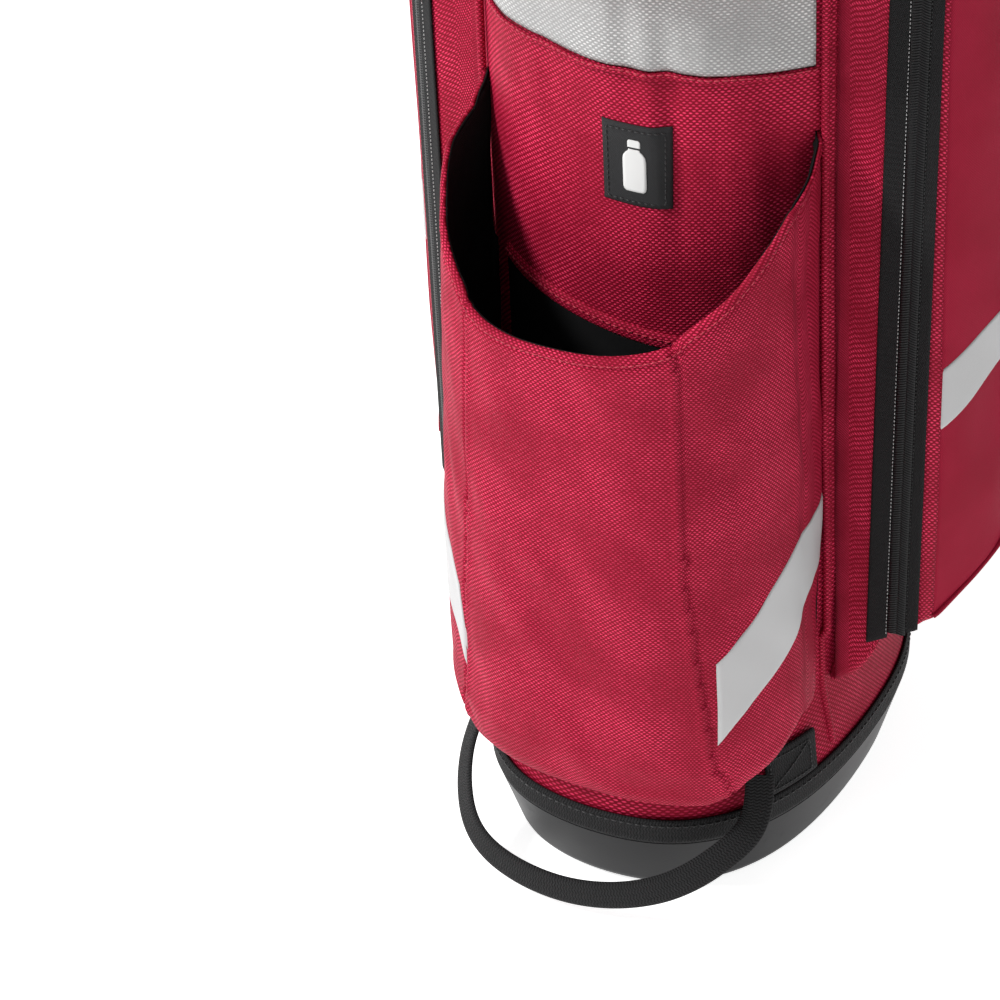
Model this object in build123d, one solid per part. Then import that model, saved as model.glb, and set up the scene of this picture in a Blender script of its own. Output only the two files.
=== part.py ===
from build123d import *
import math
import os

# Golf stand bag, standing upright with its legs folded.  Millimetres.
# Origin: middle of the base, on the floor.  +Z up, bottle pocket to -Y, stand legs to +Y.

# ---- driving dimensions -------------------------------------------------------------------------
BOOT_H = 35.5            # height of the moulded base
TAPE_H = 14.0            # binding tape round the base
WALL = 4.0               # padded body wall
SHELL_TOP = 846.0        # top of the body fabric
CUFF_H = 38.0            # moulded top cuff
SEAM_Y = -37.0           # front corner seams, where bottle pocket and side pockets meet
PANEL_Z = 436.0          # seam between the crimson and the grey front panel
ZIP_Z0, ZIP_Z1 = 136.0, 596.0      # side pocket zips
TAPE_W, COIL_U, COIL_W = 24.6, 14.4, 9.0         # zip tape, where its coil runs, coil width
LIP_TILT = 4.5           # the bottle pocket's lip stands higher on the right
LEG_Y = 137.0            # plane of the folded legs
LEG_PIVOT = (25.0, LEG_Y, 792.0)
LEG_FOOT = (41.0, LEG_Y, 92.0)
LEG_R = 6.5
LEG_SPLAY = 25.0         # outward turn of each leg hinge
FOOT_HINGE_Y = 14.0      # hinge line of the actuator foot under the base
WEB = 1.8                # webbing thickness

# body section: height, half width, half depth, centre y, squareness
BODY = [
    (36.0, 85.5, 116.0, 0.0, 2.40),
    (50.0, 86.6, 117.2, 0.0, 2.40),
    (62.0, 85.6, 115.0, 1.0, 2.38),
    (90.0, 84.6, 109.0, 5.0, 2.34),
    (130.0, 91.0, 103.5, 11.0, 2.22),
    (180.0, 98.5, 99.5, 18.0, 2.08),
    (240.0, 103.0, 98.0, 21.5, 2.00),
    (450.0, 104.5, 98.5, 22.5, 2.00),
    (650.0, 108.0, 100.0, 23.0, 2.00),
    (846.0, 112.0, 103.0, 24.0, 2.00),
]
# bottle pocket: height, front corner x, front corner y, middle of the front y, gusset bulge
BOTTLE = [
    (60.0, 72.0, -104.0, -125.0, 14.0),
    (90.0, 68.0, -113.0, -130.0, 16.0),
    (200.0, 61.0, -117.0, -134.0, 16.0),
    (326.0, 56.5, -117.0, -132.0, 16.0),
    (410.0, 55.0, -112.0, -126.0, 16.0),
]
# side pockets, filled differently left and right: start of the zip tape at floor level (x, y),
# its lean per mm of height, its angle from +X, and the outer curve behind it
SIDES = {
    "right": ((99.1, -31.5), (0.0258, 0.0032), 7.1,
              [(146.0, -2.0), (152.0, 28.0), (148.0, 60.0), (129.0, 86.0)]),
    "left": ((111.2, -28.6), (0.0098, 0.0), 39.6,
             [(146.0, 6.0), (150.0, 30.0), (146.0, 60.0), (128.0, 86.0)]),
}


def save(node, shape):
    export_step(shape, f"parts/{node}.step")


def mirrored(shape):
    return mirror(shape, about=Plane.YZ)


# ---- section helpers ----------------------------------------------------------------------------
def station(z):
    """Body section at height z, straight between the rows of BODY."""
    rows = BODY
    z = min(max(z, rows[0][0]), rows[-1][0])
    for low, high in zip(rows, rows[1:]):
        if z <= high[0]:
            t = (z - low[0]) / (high[0] - low[0])
            return [p + t * (q - p) for p, q in zip(low, high)][1:]


def oval(a, b, yc, n, deg, off=0.0):
    """Point of an oval at an angle from +X, pushed out by off."""
    c, s = math.cos(math.radians(deg)), math.sin(math.radians(deg))
    x = a * math.copysign(abs(c) ** (2 / n), c)
    y = b * math.copysign(abs(s) ** (2 / n), s)
    gx = math.copysign(abs(x / a) ** (n - 1) / a, x)
    gy = math.copysign(abs(y / b) ** (n - 1) / b, y)
    g = math.hypot(gx, gy)
    return x + off * gx / g, yc + y + off * gy / g


def body_at(z, deg, off=0.0):
    return oval(*station(z), deg, off)


def heights(z0, z1, extra=()):
    """z0, z1 and every body row between them."""
    return [z0] + sorted([r[0] for r in BODY if z0 + 1 < r[0] < z1 - 1] + list(extra)) + [z1]


def ring_face(a, b, yc, n, z, off=0.0):
    pts = [(*oval(a, b, yc, n, k * 15 + 7.5, off), z) for k in range(24)]
    return make_face(Spline(*pts, periodic=True))


def body_solid(z0, z1, off):
    """Body outline between two heights as one solid, pushed out by off."""
    return loft([ring_face(*station(z), z, off) for z in heights(z0, z1)], ruled=True)


def oval_solid(a, b, yc, z0, z1, da=0.0):
    """Upright elliptical block, widening by da on its way up."""
    taper = -math.degrees(math.atan2(da, z1 - z0))
    return extrude(Pos(0, yc, z0) * Ellipse(a, b), amount=z1 - z0, taper=taper)


def wrapped(z0, z1, deg0, deg1, off0, off1, steps=10):
    """Panel wrapped round the body.  deg0 and deg1 may be functions of z."""
    faces = []
    for z in heights(z0, z1):
        a0 = deg0(z) if callable(deg0) else deg0
        a1 = deg1(z) if callable(deg1) else deg1
        angles = [a0 + (a1 - a0) * k / steps for k in range(steps + 1)]
        inner = [(*body_at(z, d, off0), z) for d in angles]
        outer = [(*body_at(z, d, off1), z) for d in reversed(angles)]
        faces.append(make_face([Spline(*inner), Line(inner[-1], outer[0]),
                                Spline(*outer), Line(outer[-1], inner[0])]))
    return loft(faces, ruled=True)


def seam_angle(z):
    """Angle from +X of the right front corner seam (negative: towards -Y)."""
    a, b, yc, n = station(z)
    return -math.degrees(math.asin((abs(SEAM_Y - yc) / b) ** (n / 2)))


def side_profile(points, half=200.0):
    """Prism along X from an outline of (y, z) points."""
    face = make_face(Polyline(*[(-half, y, z) for y, z in points], close=True))
    return extrude(face, amount=2 * half, dir=(1, 0, 0))


def block(x0, x1, y0, y1, z0, z1):
    centre = ((x0 + x1) / 2, (y0 + y1) / 2, (z0 + z1) / 2)
    return Pos(*centre) * Box(x1 - x0, y1 - y0, z1 - z0)


def rod(start, end, radius):
    start, end = Vector(*start), Vector(*end)
    plane = Plane(origin=start, z_dir=end - start)
    return extrude(plane * Circle(radius), amount=(end - start).length)


def strap(points, across, width, thick):
    """Flat band through points; across is the direction of its width."""
    path = Spline(*points)
    start = Plane(origin=path @ 0, x_dir=across, z_dir=path % 0)
    return sweep(start * Rectangle(width, thick), path=path, is_frenet=False)


# ---- base ---------------------------------------------------------------------------------------
def base():
    # rounded lower edge, then a straight draft of 17 degrees up to the rim
    rows = []
    for step in range(7):
        turn = math.radians(73 * step / 6)
        rows.append((8 * (1 - math.cos(turn)), 8 * math.sin(turn)))
    rim = rows[-1][1] + (BOOT_H - rows[-1][0]) * math.tan(math.radians(17))
    rows.append((BOOT_H, rim))
    outer = loft([ring_face(87.8 - rim + out, 118.4 - rim + out, 0, 2.4, z) for z, out in rows],
                 ruled=True)
    inner = loft([ring_face(78.0, 108.0, 0, 2.4, 30.0),
                  ring_face(84.0, 114.6, 0, 2.4, BOOT_H + 1)], ruled=True)
    # bay under the rear half, for the actuator foot
    bay = block(-46.5, 46.5, FOOT_HINGE_Y - 6, 96.0, -1.0, 26.5)
    bore = rod((-56, FOOT_HINGE_Y, 6), (56, FOOT_HINGE_Y, 6), 2.05)
    slots = [block(x - 4.5, x + 4.5, 84.0, 120.0, 5.0, 40.0) for x in (-14, 14)]
    save("base_boot", outer - inner - bay - bore - slots[0] - slots[1])

    plate = block(-45.0, 45.0, FOOT_HINGE_Y + 4, 92.0, 0.6, 5.0)
    plate = fillet(plate.edges().filter_by(Axis.Z), 5.0)
    knuckle = rod((-45, FOOT_HINGE_Y, 6), (45, FOOT_HINGE_Y, 6), 4.6)
    knuckle -= rod((-46, FOOT_HINGE_Y, 6), (46, FOOT_HINGE_Y, 6), 2.05)
    web = block(-44.0, 44.0, FOOT_HINGE_Y + 3.2, FOOT_HINGE_Y + 9, 1.6, 6.0)
    ribs = [block(x - 2, x + 2, FOOT_HINGE_Y + 6, 80.0, 4.0, 9.0) for x in (-30, 30)]
    save("actuator_foot", plate + knuckle + web + ribs[0] + ribs[1])
    save("actuator_foot_pin", rod((-55, FOOT_HINGE_Y, 6), (55, FOOT_HINGE_Y, 6), 2.0))

    z0 = BOOT_H + 0.3
    tape = loft([ring_face(88.6, 119.2, 0, 2.4, z0), ring_face(88.6, 119.2, 0, 2.4, z0 + TAPE_H)],
                ruled=True)
    hole = loft([ring_face(87.0, 117.6, 0, 2.4, z0 - 1),
                 ring_face(87.0, 117.6, 0, 2.4, z0 + TAPE_H + 1)], ruled=True)
    save("base_binding_tape", tape - hole)


# ---- body ---------------------------------------------------------------------------------------
def body():
    z0 = BOOT_H + 0.8
    save("body_shell", body_solid(z0, SHELL_TOP, 0.0) - body_solid(z0 - 1, SHELL_TOP + 1, -WALL))
    lining = body_solid(z0 + 1, SHELL_TOP - 1, -WALL - 0.2)
    save("body_lining", lining - body_solid(z0, SHELL_TOP, -WALL - 1.2))

    def left(z):
        return -180 - seam_angle(z) + 2.0

    def right(z):
        return seam_angle(z) - 2.0

    save("front_panel_upper", wrapped(PANEL_Z, 842.0, left, right, 0.3, 1.6, 16))
    save("front_panel_seam", wrapped(PANEL_Z - 4.0, PANEL_Z - 0.4, left, right, 0.3, 2.2, 16))
    save("hip_pad", wrapped(330.0, 520.0, 66.0, 114.0, 0.3, 7.5, 12))

    rows = heights(128.0, 818.0, (300.0, 380.0, 550.0, 750.0))
    piping = loft([Pos(*body_at(z, seam_angle(z), 2.4), z) * Circle(1.9) for z in rows],
                  ruled=True)
    save("corner_piping_right", piping)
    save("corner_piping_left", mirrored(piping))

    # club wells: three sheets hung from the cuff
    save("well_sheet_cross", make_sheet([(-73, 46), (73, 46), (75, 110), (90, 240), (90, 842),
                                         (-90, 842), (-90, 240), (-75, 110)], "XZ", 22.0))
    save("well_sheet_front", make_sheet([(-84, 60), (20.5, 46), (20.5, 842), (-66, 842),
                                         (-66, 240)], "YZ", 0.0))
    save("well_sheet_rear", make_sheet([(23.5, 46), (100, 60), (110, 240), (110, 842),
                                        (23.5, 842)], "YZ", 0.0))


def make_sheet(outline, plane, at):
    """Upright sheet 1.4 thick, in the plane x-z at y=at or y-z at x=at."""
    if plane == "XZ":
        face = make_face(Polyline(*[(u, at - 0.7, v) for u, v in outline], close=True))
        return extrude(face, amount=1.4, dir=(0, 1, 0))
    face = make_face(Polyline(*[(at - 0.7, u, v) for u, v in outline], close=True))
    return extrude(face, amount=1.4, dir=(1, 0, 0))


# ---- bottle pocket ------------------------------------------------------------------------------
def bottle_solid(inset):
    faces = []
    for z, cx, cy, front, bulge in BOTTLE:
        seam_x, seam_y = body_at(z, seam_angle(z))[0] - 0.6 - inset, SEAM_Y - 2.0
        cx, cy, front = cx - inset, cy + inset, front + inset
        run = math.hypot(seam_x - cx, seam_y - cy)
        nx, ny = (seam_y - cy) / run, (cx - seam_x) / run
        side = []
        for t in (0.0, 0.25, 0.5, 0.75, 1.0):
            out = bulge * 4 * t * (1 - t)
            side.append((seam_x + (cx - seam_x) * t + nx * out,
                         seam_y + (cy - seam_y) * t + ny * out, z))
        back = [(-x, y, z) for x, y, z in reversed(side)]
        curve = [side[-1], (cx * 0.62, cy + (front - cy) * 0.72, z), (0, front, z),
                 (-cx * 0.62, cy + (front - cy) * 0.72, z), back[0]]
        faces.append(make_face([Spline(*side), Spline(*curve), Spline(*back),
                                Line(back[-1], side[0])]))
    return loft(faces, ruled=True)


def bottle_outline(drop, rise):
    """Side view of the pocket: lip lowered by drop, floor raised by rise."""
    lip = [(-20, 402), (-39, 394.5), (-50, 384), (-72, 374), (-89, 358), (-101.6, 343),
           (-113, 331), (-117, 324), (-132, 317), (-160, 306)]
    floor = [(-160, 66), (-113, 68), (-106, 76), (-103.4, 81), (-90.8, 90), (-79.7, 99),
             (-71.6, 102), (-54.9, 99), (-39, 97), (-20, 97)]
    below = side_profile([(y, z - drop) for y, z in lip] + [(-160, -60), (-20, -60)])
    above = side_profile([(y, z + rise) for y, z in floor] + [(-20, 600), (-160, 600)])
    return (Rot(0, -LIP_TILT, 0) * below) & above


def bottle_pocket():
    tube = body_solid(40.0, 600.0, 0.3)
    shell = bottle_solid(0.0) & bottle_outline(0.0, 0.0)
    shell -= bottle_solid(2.2) & bottle_outline(-60.0, 3.0)
    save("bottle_pocket", shell - tube)
    lining = bottle_solid(2.4) & bottle_outline(1.5, 3.2)
    lining -= bottle_solid(3.4) & bottle_outline(-60.0, 4.2)
    save("bottle_pocket_lining", lining - body_solid(40.0, 600.0, 0.6))

    # contrast stripe across both gussets, falling forwards
    upper = [(-39, 211), (-56.5, 210), (-72.7, 208), (-84.6, 198), (-93.2, 188), (-99.9, 176),
             (-107, 167), (-113, 158), (-122, 146)]
    lower = [(-39, 172), (-56.2, 174), (-68.8, 170), (-77.3, 156), (-84.6, 146), (-93.7, 138),
             (-102.9, 129), (-109.7, 119), (-113.7, 109), (-122, 100)]
    skin = bottle_solid(-1.1) - bottle_solid(-0.2)
    right = side_profile(upper + lower[::-1]) & skin & block(40, 125, -118.0, -42.5, 60, 400)
    save("gusset_stripe_right", right)
    save("gusset_stripe_left", mirrored(right))

    # plain badge on the body wall above the pocket
    save("bottle_patch", wrapped(365.0, 407.0, -94.0, -74.6, 0.3, 1.5, 4))


# ---- side pockets -------------------------------------------------------------------------------
def tape_point(side, z, along, out=0.0):
    """Point on a side pocket's front edge: along the zip tape, and out from its face."""
    (x, y), (lean_x, lean_y), angle, _ = SIDES[side]
    c, s = math.cos(math.radians(angle)), math.sin(math.radians(angle))
    return (x + lean_x * z + along * c + out * s, y + lean_y * z + along * s - out * c)


def pocket_curve(side, z, off=0.0):
    """Outer face of a side pocket, front to back, pushed out by off."""
    lean_x, lean_y = SIDES[side][1]
    dx, dy = lean_x * (z - 300), lean_y * (z - 300)
    pts = [(x + dx, y + dy) for x, y in SIDES[side][3]]
    pts = [tape_point(side, z, TAPE_W + 0.4, 0.1)] + pts + [(78.0, 98.0)]
    push = [(0.9, -0.4), (0.96, -0.3), (1.0, 0.0), (0.95, 0.3), (0.6, 0.8), (0.0, 1.0)]
    return [(x + off * u, y + off * v) for (x, y), (u, v) in zip(pts, push)]


def side_pocket(side):
    """One side pocket with its zip, modelled on the right; the left one is mirrored."""
    place = mirrored if side == "left" else (lambda shape: shape)
    rows = [(84.0, 0.80), (150.0, 0.96), (220.0, 1.0), (480.0, 1.0), (560.0, 0.95),
            (612.0, 0.72), (636.0, 0.30)]
    faces = []
    for z, swell in rows:
        root = body_at(z, 8)[0] - 8
        tuck = 1.0 if z < 612 else swell
        outer = [(root + (x - root) * swell, y) for x, y in pocket_curve(side, z)[1:-1]]
        seam, edge = tape_point(side, z, -0.4, 0.1), tape_point(side, z, TAPE_W + 0.4, 0.1)
        seam, edge = [(max(root + 1, root + (x - root) * tuck), y) for x, y in (seam, edge)]
        curve = [(x, y, z) for x, y in [edge, *outer, (78, 98)]]
        front = [(74, -33.6, z), (*seam, z), curve[0]]
        faces.append(make_face([Line(front[0], front[1]), Line(front[1], front[2]),
                                Spline(*curve), Line((78, 98, z), front[0])]))
    cut = side_profile([(-60, 122), (-33.5, 126), (-27, 132), (24, 164), (60, 186), (120, 212),
                        (120, 640), (-60, 640)])
    chin = make_face(Polyline((70, -60, 91), (88, -60, 94), (97, -60, 101), (109, -60, 121),
                              (117, -60, 130), (128, -60, 136), (190, -60, 150), (190, -60, 700),
                              (70, -60, 700), close=True))
    cut = (cut + side_profile([(-60, 84), (-30.6, 84), (-30.6, 140), (-60, 140)]))
    cut &= extrude(chin, amount=200, dir=(0, 1, 0))
    pocket = (loft(faces, ruled=True) & cut) - body_solid(90.0, 700.0, 0.3)
    save(f"side_pocket_{side}", place(pocket))

    # zip on the outer edge of the front gusset
    lean_x, lean_y = SIDES[side][1]
    angle = math.radians(SIDES[side][2])

    def across(z):
        return Plane(origin=(*tape_point(side, z, COIL_U), z),
                     x_dir=(math.cos(angle), math.sin(angle), 0), z_dir=(0, 0, 1))

    tape = Pos(TAPE_W / 2 - COIL_U, -0.9) * Rectangle(TAPE_W, 1.0)
    coil = Pos(0, -1.4) * RectangleRounded(COIL_W, 1.9, 0.9)
    rise = Vector(lean_x, lean_y, 1)
    strip = extrude(across(ZIP_Z0) * (tape + coil), amount=(ZIP_Z1 - ZIP_Z0) * rise.length,
                    dir=rise)
    save(f"side_zip_{side}", place(strip))
    slider, pull = zip_slider()
    save(f"side_zip_slider_{side}", place(Location(across(ZIP_Z1 - 14)) * slider))
    save(f"side_zip_pull_{side}", place(Location(across(ZIP_Z1 - 14)) * pull))

    # contrast stripe on the outer face, rising to the back
    band = side_profile([(-30, 243), (-30, 277), (18, 308), (58, 333), (58, 299), (18, 274)])
    inner = [(x, y, 230) for x, y in pocket_curve(side, 230, 0.3)]
    outer = [(x, y, 230) for x, y in pocket_curve(side, 230, 1.3)][::-1]
    outline = make_face([Spline(*inner), Line(inner[-1], outer[0]), Spline(*outer),
                         Line(outer[-1], inner[0])])
    save(f"side_stripe_{side}", place(extrude(outline, amount=160, dir=rise) & band))


def zip_slider():
    """Slider straddling a coil, and its pull; local x across, -y outwards, z along."""
    slider = block(-6.6, 6.6, -5.4, -2.8, 0, 12) + block(-6.6, -5.1, -5.4, -1.7, 0, 12)
    slider += block(5.1, 6.6, -5.4, -1.7, 0, 12)
    slider = fillet(slider.edges().filter_by(Axis.Y), 0.7)
    slider += block(-1.9, 1.9, -7.9, -5.3, 2.5, 4.0) + block(-1.9, 1.9, -7.9, -5.3, 8.0, 9.5)
    slider += block(-1.9, 1.9, -8.9, -7.8, 2.5, 9.5)
    body = block(-4.2, 4.2, -7.5, -5.8, -26.0, 6.0)
    body = fillet(body.edges().filter_by(Axis.Y).group_by(Axis.Z)[0], 0.9)
    body -= block(-2.2, 2.2, -9, -5, -1.0, 7.0)
    return slider, body + rod((-4.2, -6.65, 6), (4.2, -6.65, 6), 0.85)


# ---- ball pocket --------------------------------------------------------------------------------
def ball_pocket():
    faces = []
    for z, swell in [(500.0, 26.0), (514.0, 40.0), (600.0, 44.0), (664.0, 36.0), (684.0, 18.0)]:
        pts = []
        for k in range(9):
            d = -138 + k * 96 / 8
            grow = swell * (0.55 if k in (0, 8) else 1.0)
            pts.append((*body_at(z, d, 2.0 + grow), z))
        ends = [(*body_at(z, -138, -2.0), z), (*body_at(z, -42, -2.0), z)]
        faces.append(make_face([Spline(*pts), Line(pts[-1], ends[1]), Line(ends[1], ends[0]),
                                Line(ends[0], pts[0])]))
    pocket = loft(faces, ruled=True)
    save("ball_pocket", pocket - body_solid(480.0, 700.0, 1.9))

    # the zip runs up the middle of the pocket
    y = body_at(600.0, -90, 2.0 + 44.0)[1]
    z0, z1 = 522.0, 640.0
    spine = block(-11, 11, y - 2.4, y - 1.4, z0, z1)
    coil = extrude(Pos(0, y - 2.9, z0) * RectangleRounded(COIL_W, 1.9, 0.9), amount=z1 - z0)
    pad = block(-11, 11, y - 1.5, y + 14, z0, z1) - pocket
    save("ball_zip", spine + coil + pad)
    slider, pull = zip_slider()
    place = Pos(0, y - 1.5, z1 - 14)
    save("ball_zip_slider", place * slider)
    save("ball_zip_pull", place * pull)


# ---- carrying loop on the base ------------------------------------------------------------------
def base_loop():
    # the loop sags a little to the left
    path = [(72.5, -84.5, 61.5), (75.0, -95.0, 50.0), (66.0, -112.0, 38.0), (42.0, -128.0, 22.0),
            (0.0, -138.0, 13.0), (-44.0, -133.0, 16.0), (-66.0, -118.0, 29.0),
            (-75.0, -97.0, 46.0), (-72.5, -84.5, 61.5)]
    save("base_loop", strap(path, (-0.7, -0.5, 0.5), 18.0, 2.4))

    def back(z):
        return seam_angle(z) - 4.0

    anchor = wrapped(51.0, 74.0, back, lambda z: seam_angle(z) - 22.0, 0.3, 2.6, 4)
    save("loop_anchor_right", anchor)
    save("loop_anchor_left", mirrored(anchor))


# ---- top cuff -----------------------------------------------------------------------------------
def top():
    a, b, yc, _ = station(SHELL_TOP)
    z0, z1 = SHELL_TOP + 0.3, SHELL_TOP + 0.3 + CUFF_H
    ring = oval_solid(a + 3.5, b + 3.5, yc, z0, z1, 3.0)
    ring -= oval_solid(a - 6.0, b - 6.0, yc, z0 - 1, z1 + 1)
    save("top_cuff", fillet(ring.edges().group_by(Axis.Z)[-1], 2.5))
    hole = oval_solid(a - 6.4, b - 6.4, yc, z0 - 30, z1 + 30)
    bars = block(-120, 120, yc - 8, yc + 8, z0 + 8, z1 - 6)
    bars += block(-8, 8, -120, 160, z0 + 8, z1 - 6)
    save("cuff_dividers", bars & hole)
    save("cuff_trim", wrapped(822.0, SHELL_TOP, 0.0, 359.9, 1.9, 3.6, 40))

    # lift handle on the front of the cuff
    front = yc - b - 6.4
    grip = strap([(46, front - 1, z0 + 20), (40, front - 26, z0 + 16), (0, front - 38, z0 + 14),
                  (-40, front - 26, z0 + 16), (-46, front - 1, z0 + 20)], (0, 0, 1), 20.0, 9.0)
    save("front_handle", grip - oval_solid(a + 6.9, b + 6.9, yc, z0 - 30, z1 + 30))


# ---- stand --------------------------------------------------------------------------------------
def stand():
    px, py, pz = LEG_PIVOT
    axis = (math.cos(math.radians(LEG_SPLAY)), -math.sin(math.radians(LEG_SPLAY)))
    house = block(-46, 46, py - 27, py + 13, pz - 10, pz + 24)
    house = fillet(house.edges().filter_by(Axis.Z), 6.0)
    house -= body_solid(700.0, 846.0, 0.3)
    for sign in (1, -1):
        turn = Location((sign * px, py, pz), (0, 0, -sign * LEG_SPLAY))
        house -= turn * block(-9.4, 9.4, -40, 40, -40, 13)
        house -= turn * rod((-16.1, 0, 0), (16.1, 0, 0), 2.55)
    house -= block(-8.5, 8.5, py - 7.5, py + 0.5, pz - 30, pz + 16)
    save("stand_bracket", house)
    pin = Location(LEG_PIVOT, (0, 0, -LEG_SPLAY)) * rod((-16, 0, 0), (16, 0, 0), 2.5)
    save("leg_pin_right", pin)
    save("leg_pin_left", mirrored(pin))

    run = Vector(*LEG_FOOT) - Vector(*LEG_PIVOT)
    unit = run.normalized()
    top_of_tube = Vector(*LEG_PIVOT) + unit * 30
    tube = rod(top_of_tube, LEG_FOOT, LEG_R)
    save("leg_right", tube)
    save("leg_left", mirrored(tube))

    eye = Location(LEG_PIVOT, (0, 0, -LEG_SPLAY)) * rod((-9, 0, 0), (9, 0, 0), 8.0)
    sleeve = rod((Vector(*LEG_PIVOT) + unit * 4),
                 (Vector(*LEG_PIVOT) + unit * 62), 8.6)
    knuckle = eye + sleeve
    knuckle -= Location(LEG_PIVOT, (0, 0, -LEG_SPLAY)) * rod((-20, 0, 0), (20, 0, 0), 2.55)
    knuckle -= rod((top_of_tube - unit * 0.1), LEG_FOOT, LEG_R + 0.05)
    save("leg_knuckle_right", knuckle)
    save("leg_knuckle_left", mirrored(knuckle))

    tip = Vector(*LEG_FOOT)
    shoe = rod((tip - unit * 26), (tip + unit * 8), 9.5)
    shoe += Pos(tip.X, tip.Y, tip.Z - 8) * Sphere(13.0)
    shoe -= rod(top_of_tube, (tip + unit * 0.1), LEG_R + 0.05)
    save("leg_shoe_right", shoe)
    save("leg_shoe_left", mirrored(shoe))

    # push wire from the actuator foot up to the bracket
    y = py - 3.5
    bend = [(14, 88, 9.2), (14, 112, 14.0), (14, y - 4, 34.0), (14, y, 62.0), (14, y, 120.0)]
    low = sweep(Plane(origin=bend[0], z_dir=(Spline(*bend) % 0)) * Circle(2.0), path=Spline(*bend))
    straight = rod((14, y, 120), (14, y, 690), 2.0)
    slope = rod((14, y, 690), (5.4, y, 742), 2.0)
    upper = rod((5.4, y, 742), (5.4, y, 778), 2.0)
    joints = Pos(14, y, 690) * Sphere(2.0) + Pos(5.4, y, 742) * Sphere(2.0)
    half = low + straight + slope + upper + joints
    cross = rod((-14, 88, 9.2), (14, 88, 9.2), 2.0) + Pos(14, 88, 9.2) * Sphere(2.0)
    save("actuator_wire", half + mirrored(half) + cross + Pos(-14, 88, 9.2) * Sphere(2.0))
    guide = block(-22, 22, y - 18, y + 5, 560, 572) - body_solid(500, 620, 0.3)
    for x in (-14, 14):
        guide -= rod((x, y, 550), (x, y, 580), 2.3)
    save("wire_guide", guide)


# ---- shoulder straps ----------------------------------------------------------------------------
def shoulder_straps():
    line = [(66.0, 118.0, 760.0), (72.0, 138.0, 700.0), (76.0, 146.0, 620.0),
            (78.0, 140.0, 540.0), (76.0, 124.0, 470.0)]
    across = (0.82, -0.57, 0)
    pad = strap(line, across, 48.0, 11.0)
    save("shoulder_pad_right", pad)
    save("shoulder_pad_left", mirrored(pad))
    upper = strap([(62.0, 108.2, 812.0), (63.0, 111.0, 790.0), (65.6, 117.4, 762.0)],
                  across, 26.0, WEB)
    lower = strap([(75.8, 122.6, 467.0), (68.0, 115.0, 430.0), (60.0, 108.0, 394.0),
                   (58.0, 105.0, 362.0)], across, 26.0, WEB)
    lower -= body_solid(300.0, 500.0, 0.3)
    upper -= body_solid(700.0, 846.0, 0.3)
    save("strap_web_upper_right", upper)
    save("strap_web_upper_left", mirrored(upper))
    save("strap_web_lower_right", lower)
    save("strap_web_lower_left", mirrored(lower))


# ---- small fittings -----------------------------------------------------------------------------
def fittings():
    # towel ring: straight bar in the tab, bow below it
    x, y = body_at(770.0, -118.0, 1.9)
    turn = Location((x, y, 770.0), (0, 0, -28.0))
    tab = block(-8.5, 8.5, -6.6, -0.4, -12, 16)
    save("towel_tab", turn * (tab - rod((-9, -3.5, -7.5), (9, -3.5, -7.5), 1.65)))
    ends = [(-14, -3.5, -7.5), (14, -3.5, -7.5)]
    bow = ThreePointArc(ends[0], (0, -3.5, -31), ends[1])
    ring = sweep(Plane(origin=ends[0], z_dir=bow % 0) * Circle(1.6), path=bow)
    ring += rod(*ends, 1.6) + Pos(*ends[0]) * Sphere(1.6) + Pos(*ends[1]) * Sphere(1.6)
    save("towel_ring", turn * ring)


os.makedirs("parts", exist_ok=True)
base()
body()
bottle_pocket()
side_pocket("right")
side_pocket("left")
ball_pocket()
base_loop()
top()
stand()
shoulder_straps()
fittings()
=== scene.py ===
import math

import bpy
import numpy as np
from mathutils import Matrix, Vector
from mathutils.bvhtree import BVHTree


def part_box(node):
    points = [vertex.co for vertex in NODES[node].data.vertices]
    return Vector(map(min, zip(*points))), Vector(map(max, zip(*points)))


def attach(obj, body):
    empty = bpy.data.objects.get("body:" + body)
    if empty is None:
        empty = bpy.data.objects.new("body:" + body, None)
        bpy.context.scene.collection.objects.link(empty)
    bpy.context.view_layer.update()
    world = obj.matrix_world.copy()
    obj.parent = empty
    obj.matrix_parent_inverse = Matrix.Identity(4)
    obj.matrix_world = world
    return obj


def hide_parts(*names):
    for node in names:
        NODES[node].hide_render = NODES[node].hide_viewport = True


MM = 0.001
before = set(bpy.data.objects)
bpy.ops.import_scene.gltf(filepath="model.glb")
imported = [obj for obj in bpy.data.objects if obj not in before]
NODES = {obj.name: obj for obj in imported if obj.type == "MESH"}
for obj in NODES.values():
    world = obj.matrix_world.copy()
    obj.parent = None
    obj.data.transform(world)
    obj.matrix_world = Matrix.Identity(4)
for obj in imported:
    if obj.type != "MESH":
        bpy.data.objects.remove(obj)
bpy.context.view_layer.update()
SIDES = (("right", 1), ("left", -1))
low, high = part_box("body_shell")
AXIS = (0.0, (low.y + high.y) / 2 + 2 * MM)
CORE = (*AXIS, 0.4)                    # a point inside the bag: cloth faces away from it

# ---- colours (linear)
# each cloth's lighter tone is painted sheen on its raised yarns, its darker tone painted shade in the
# weave's hollows
CRIMSON, CRIMSON_SHEEN = (0.34, 0.004, 0.026), (0.98, 0.050, 0.15)
CRIMSON_SHADE = (0.10, 0.001, 0.006)
GREY, GREY_SHEEN, GREY_SHADE = (0.47, 0.47, 0.465), (0.86, 0.86, 0.85), (0.20, 0.20, 0.20)
STRIPE = (0.52, 0.52, 0.525)
# the darkest black is painted shade in the webbing's hollows and dark random flecks in the black
# lining; the lighter black is painted sheen on the webbing's ribs
BLACK, BLACK_SHEEN, BLACK_SHADE_AND_FLECK = (0.007, 0.007, 0.0075), (0.026, 0.026, 0.027), (0.002, 0.002, 0.002)


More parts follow.
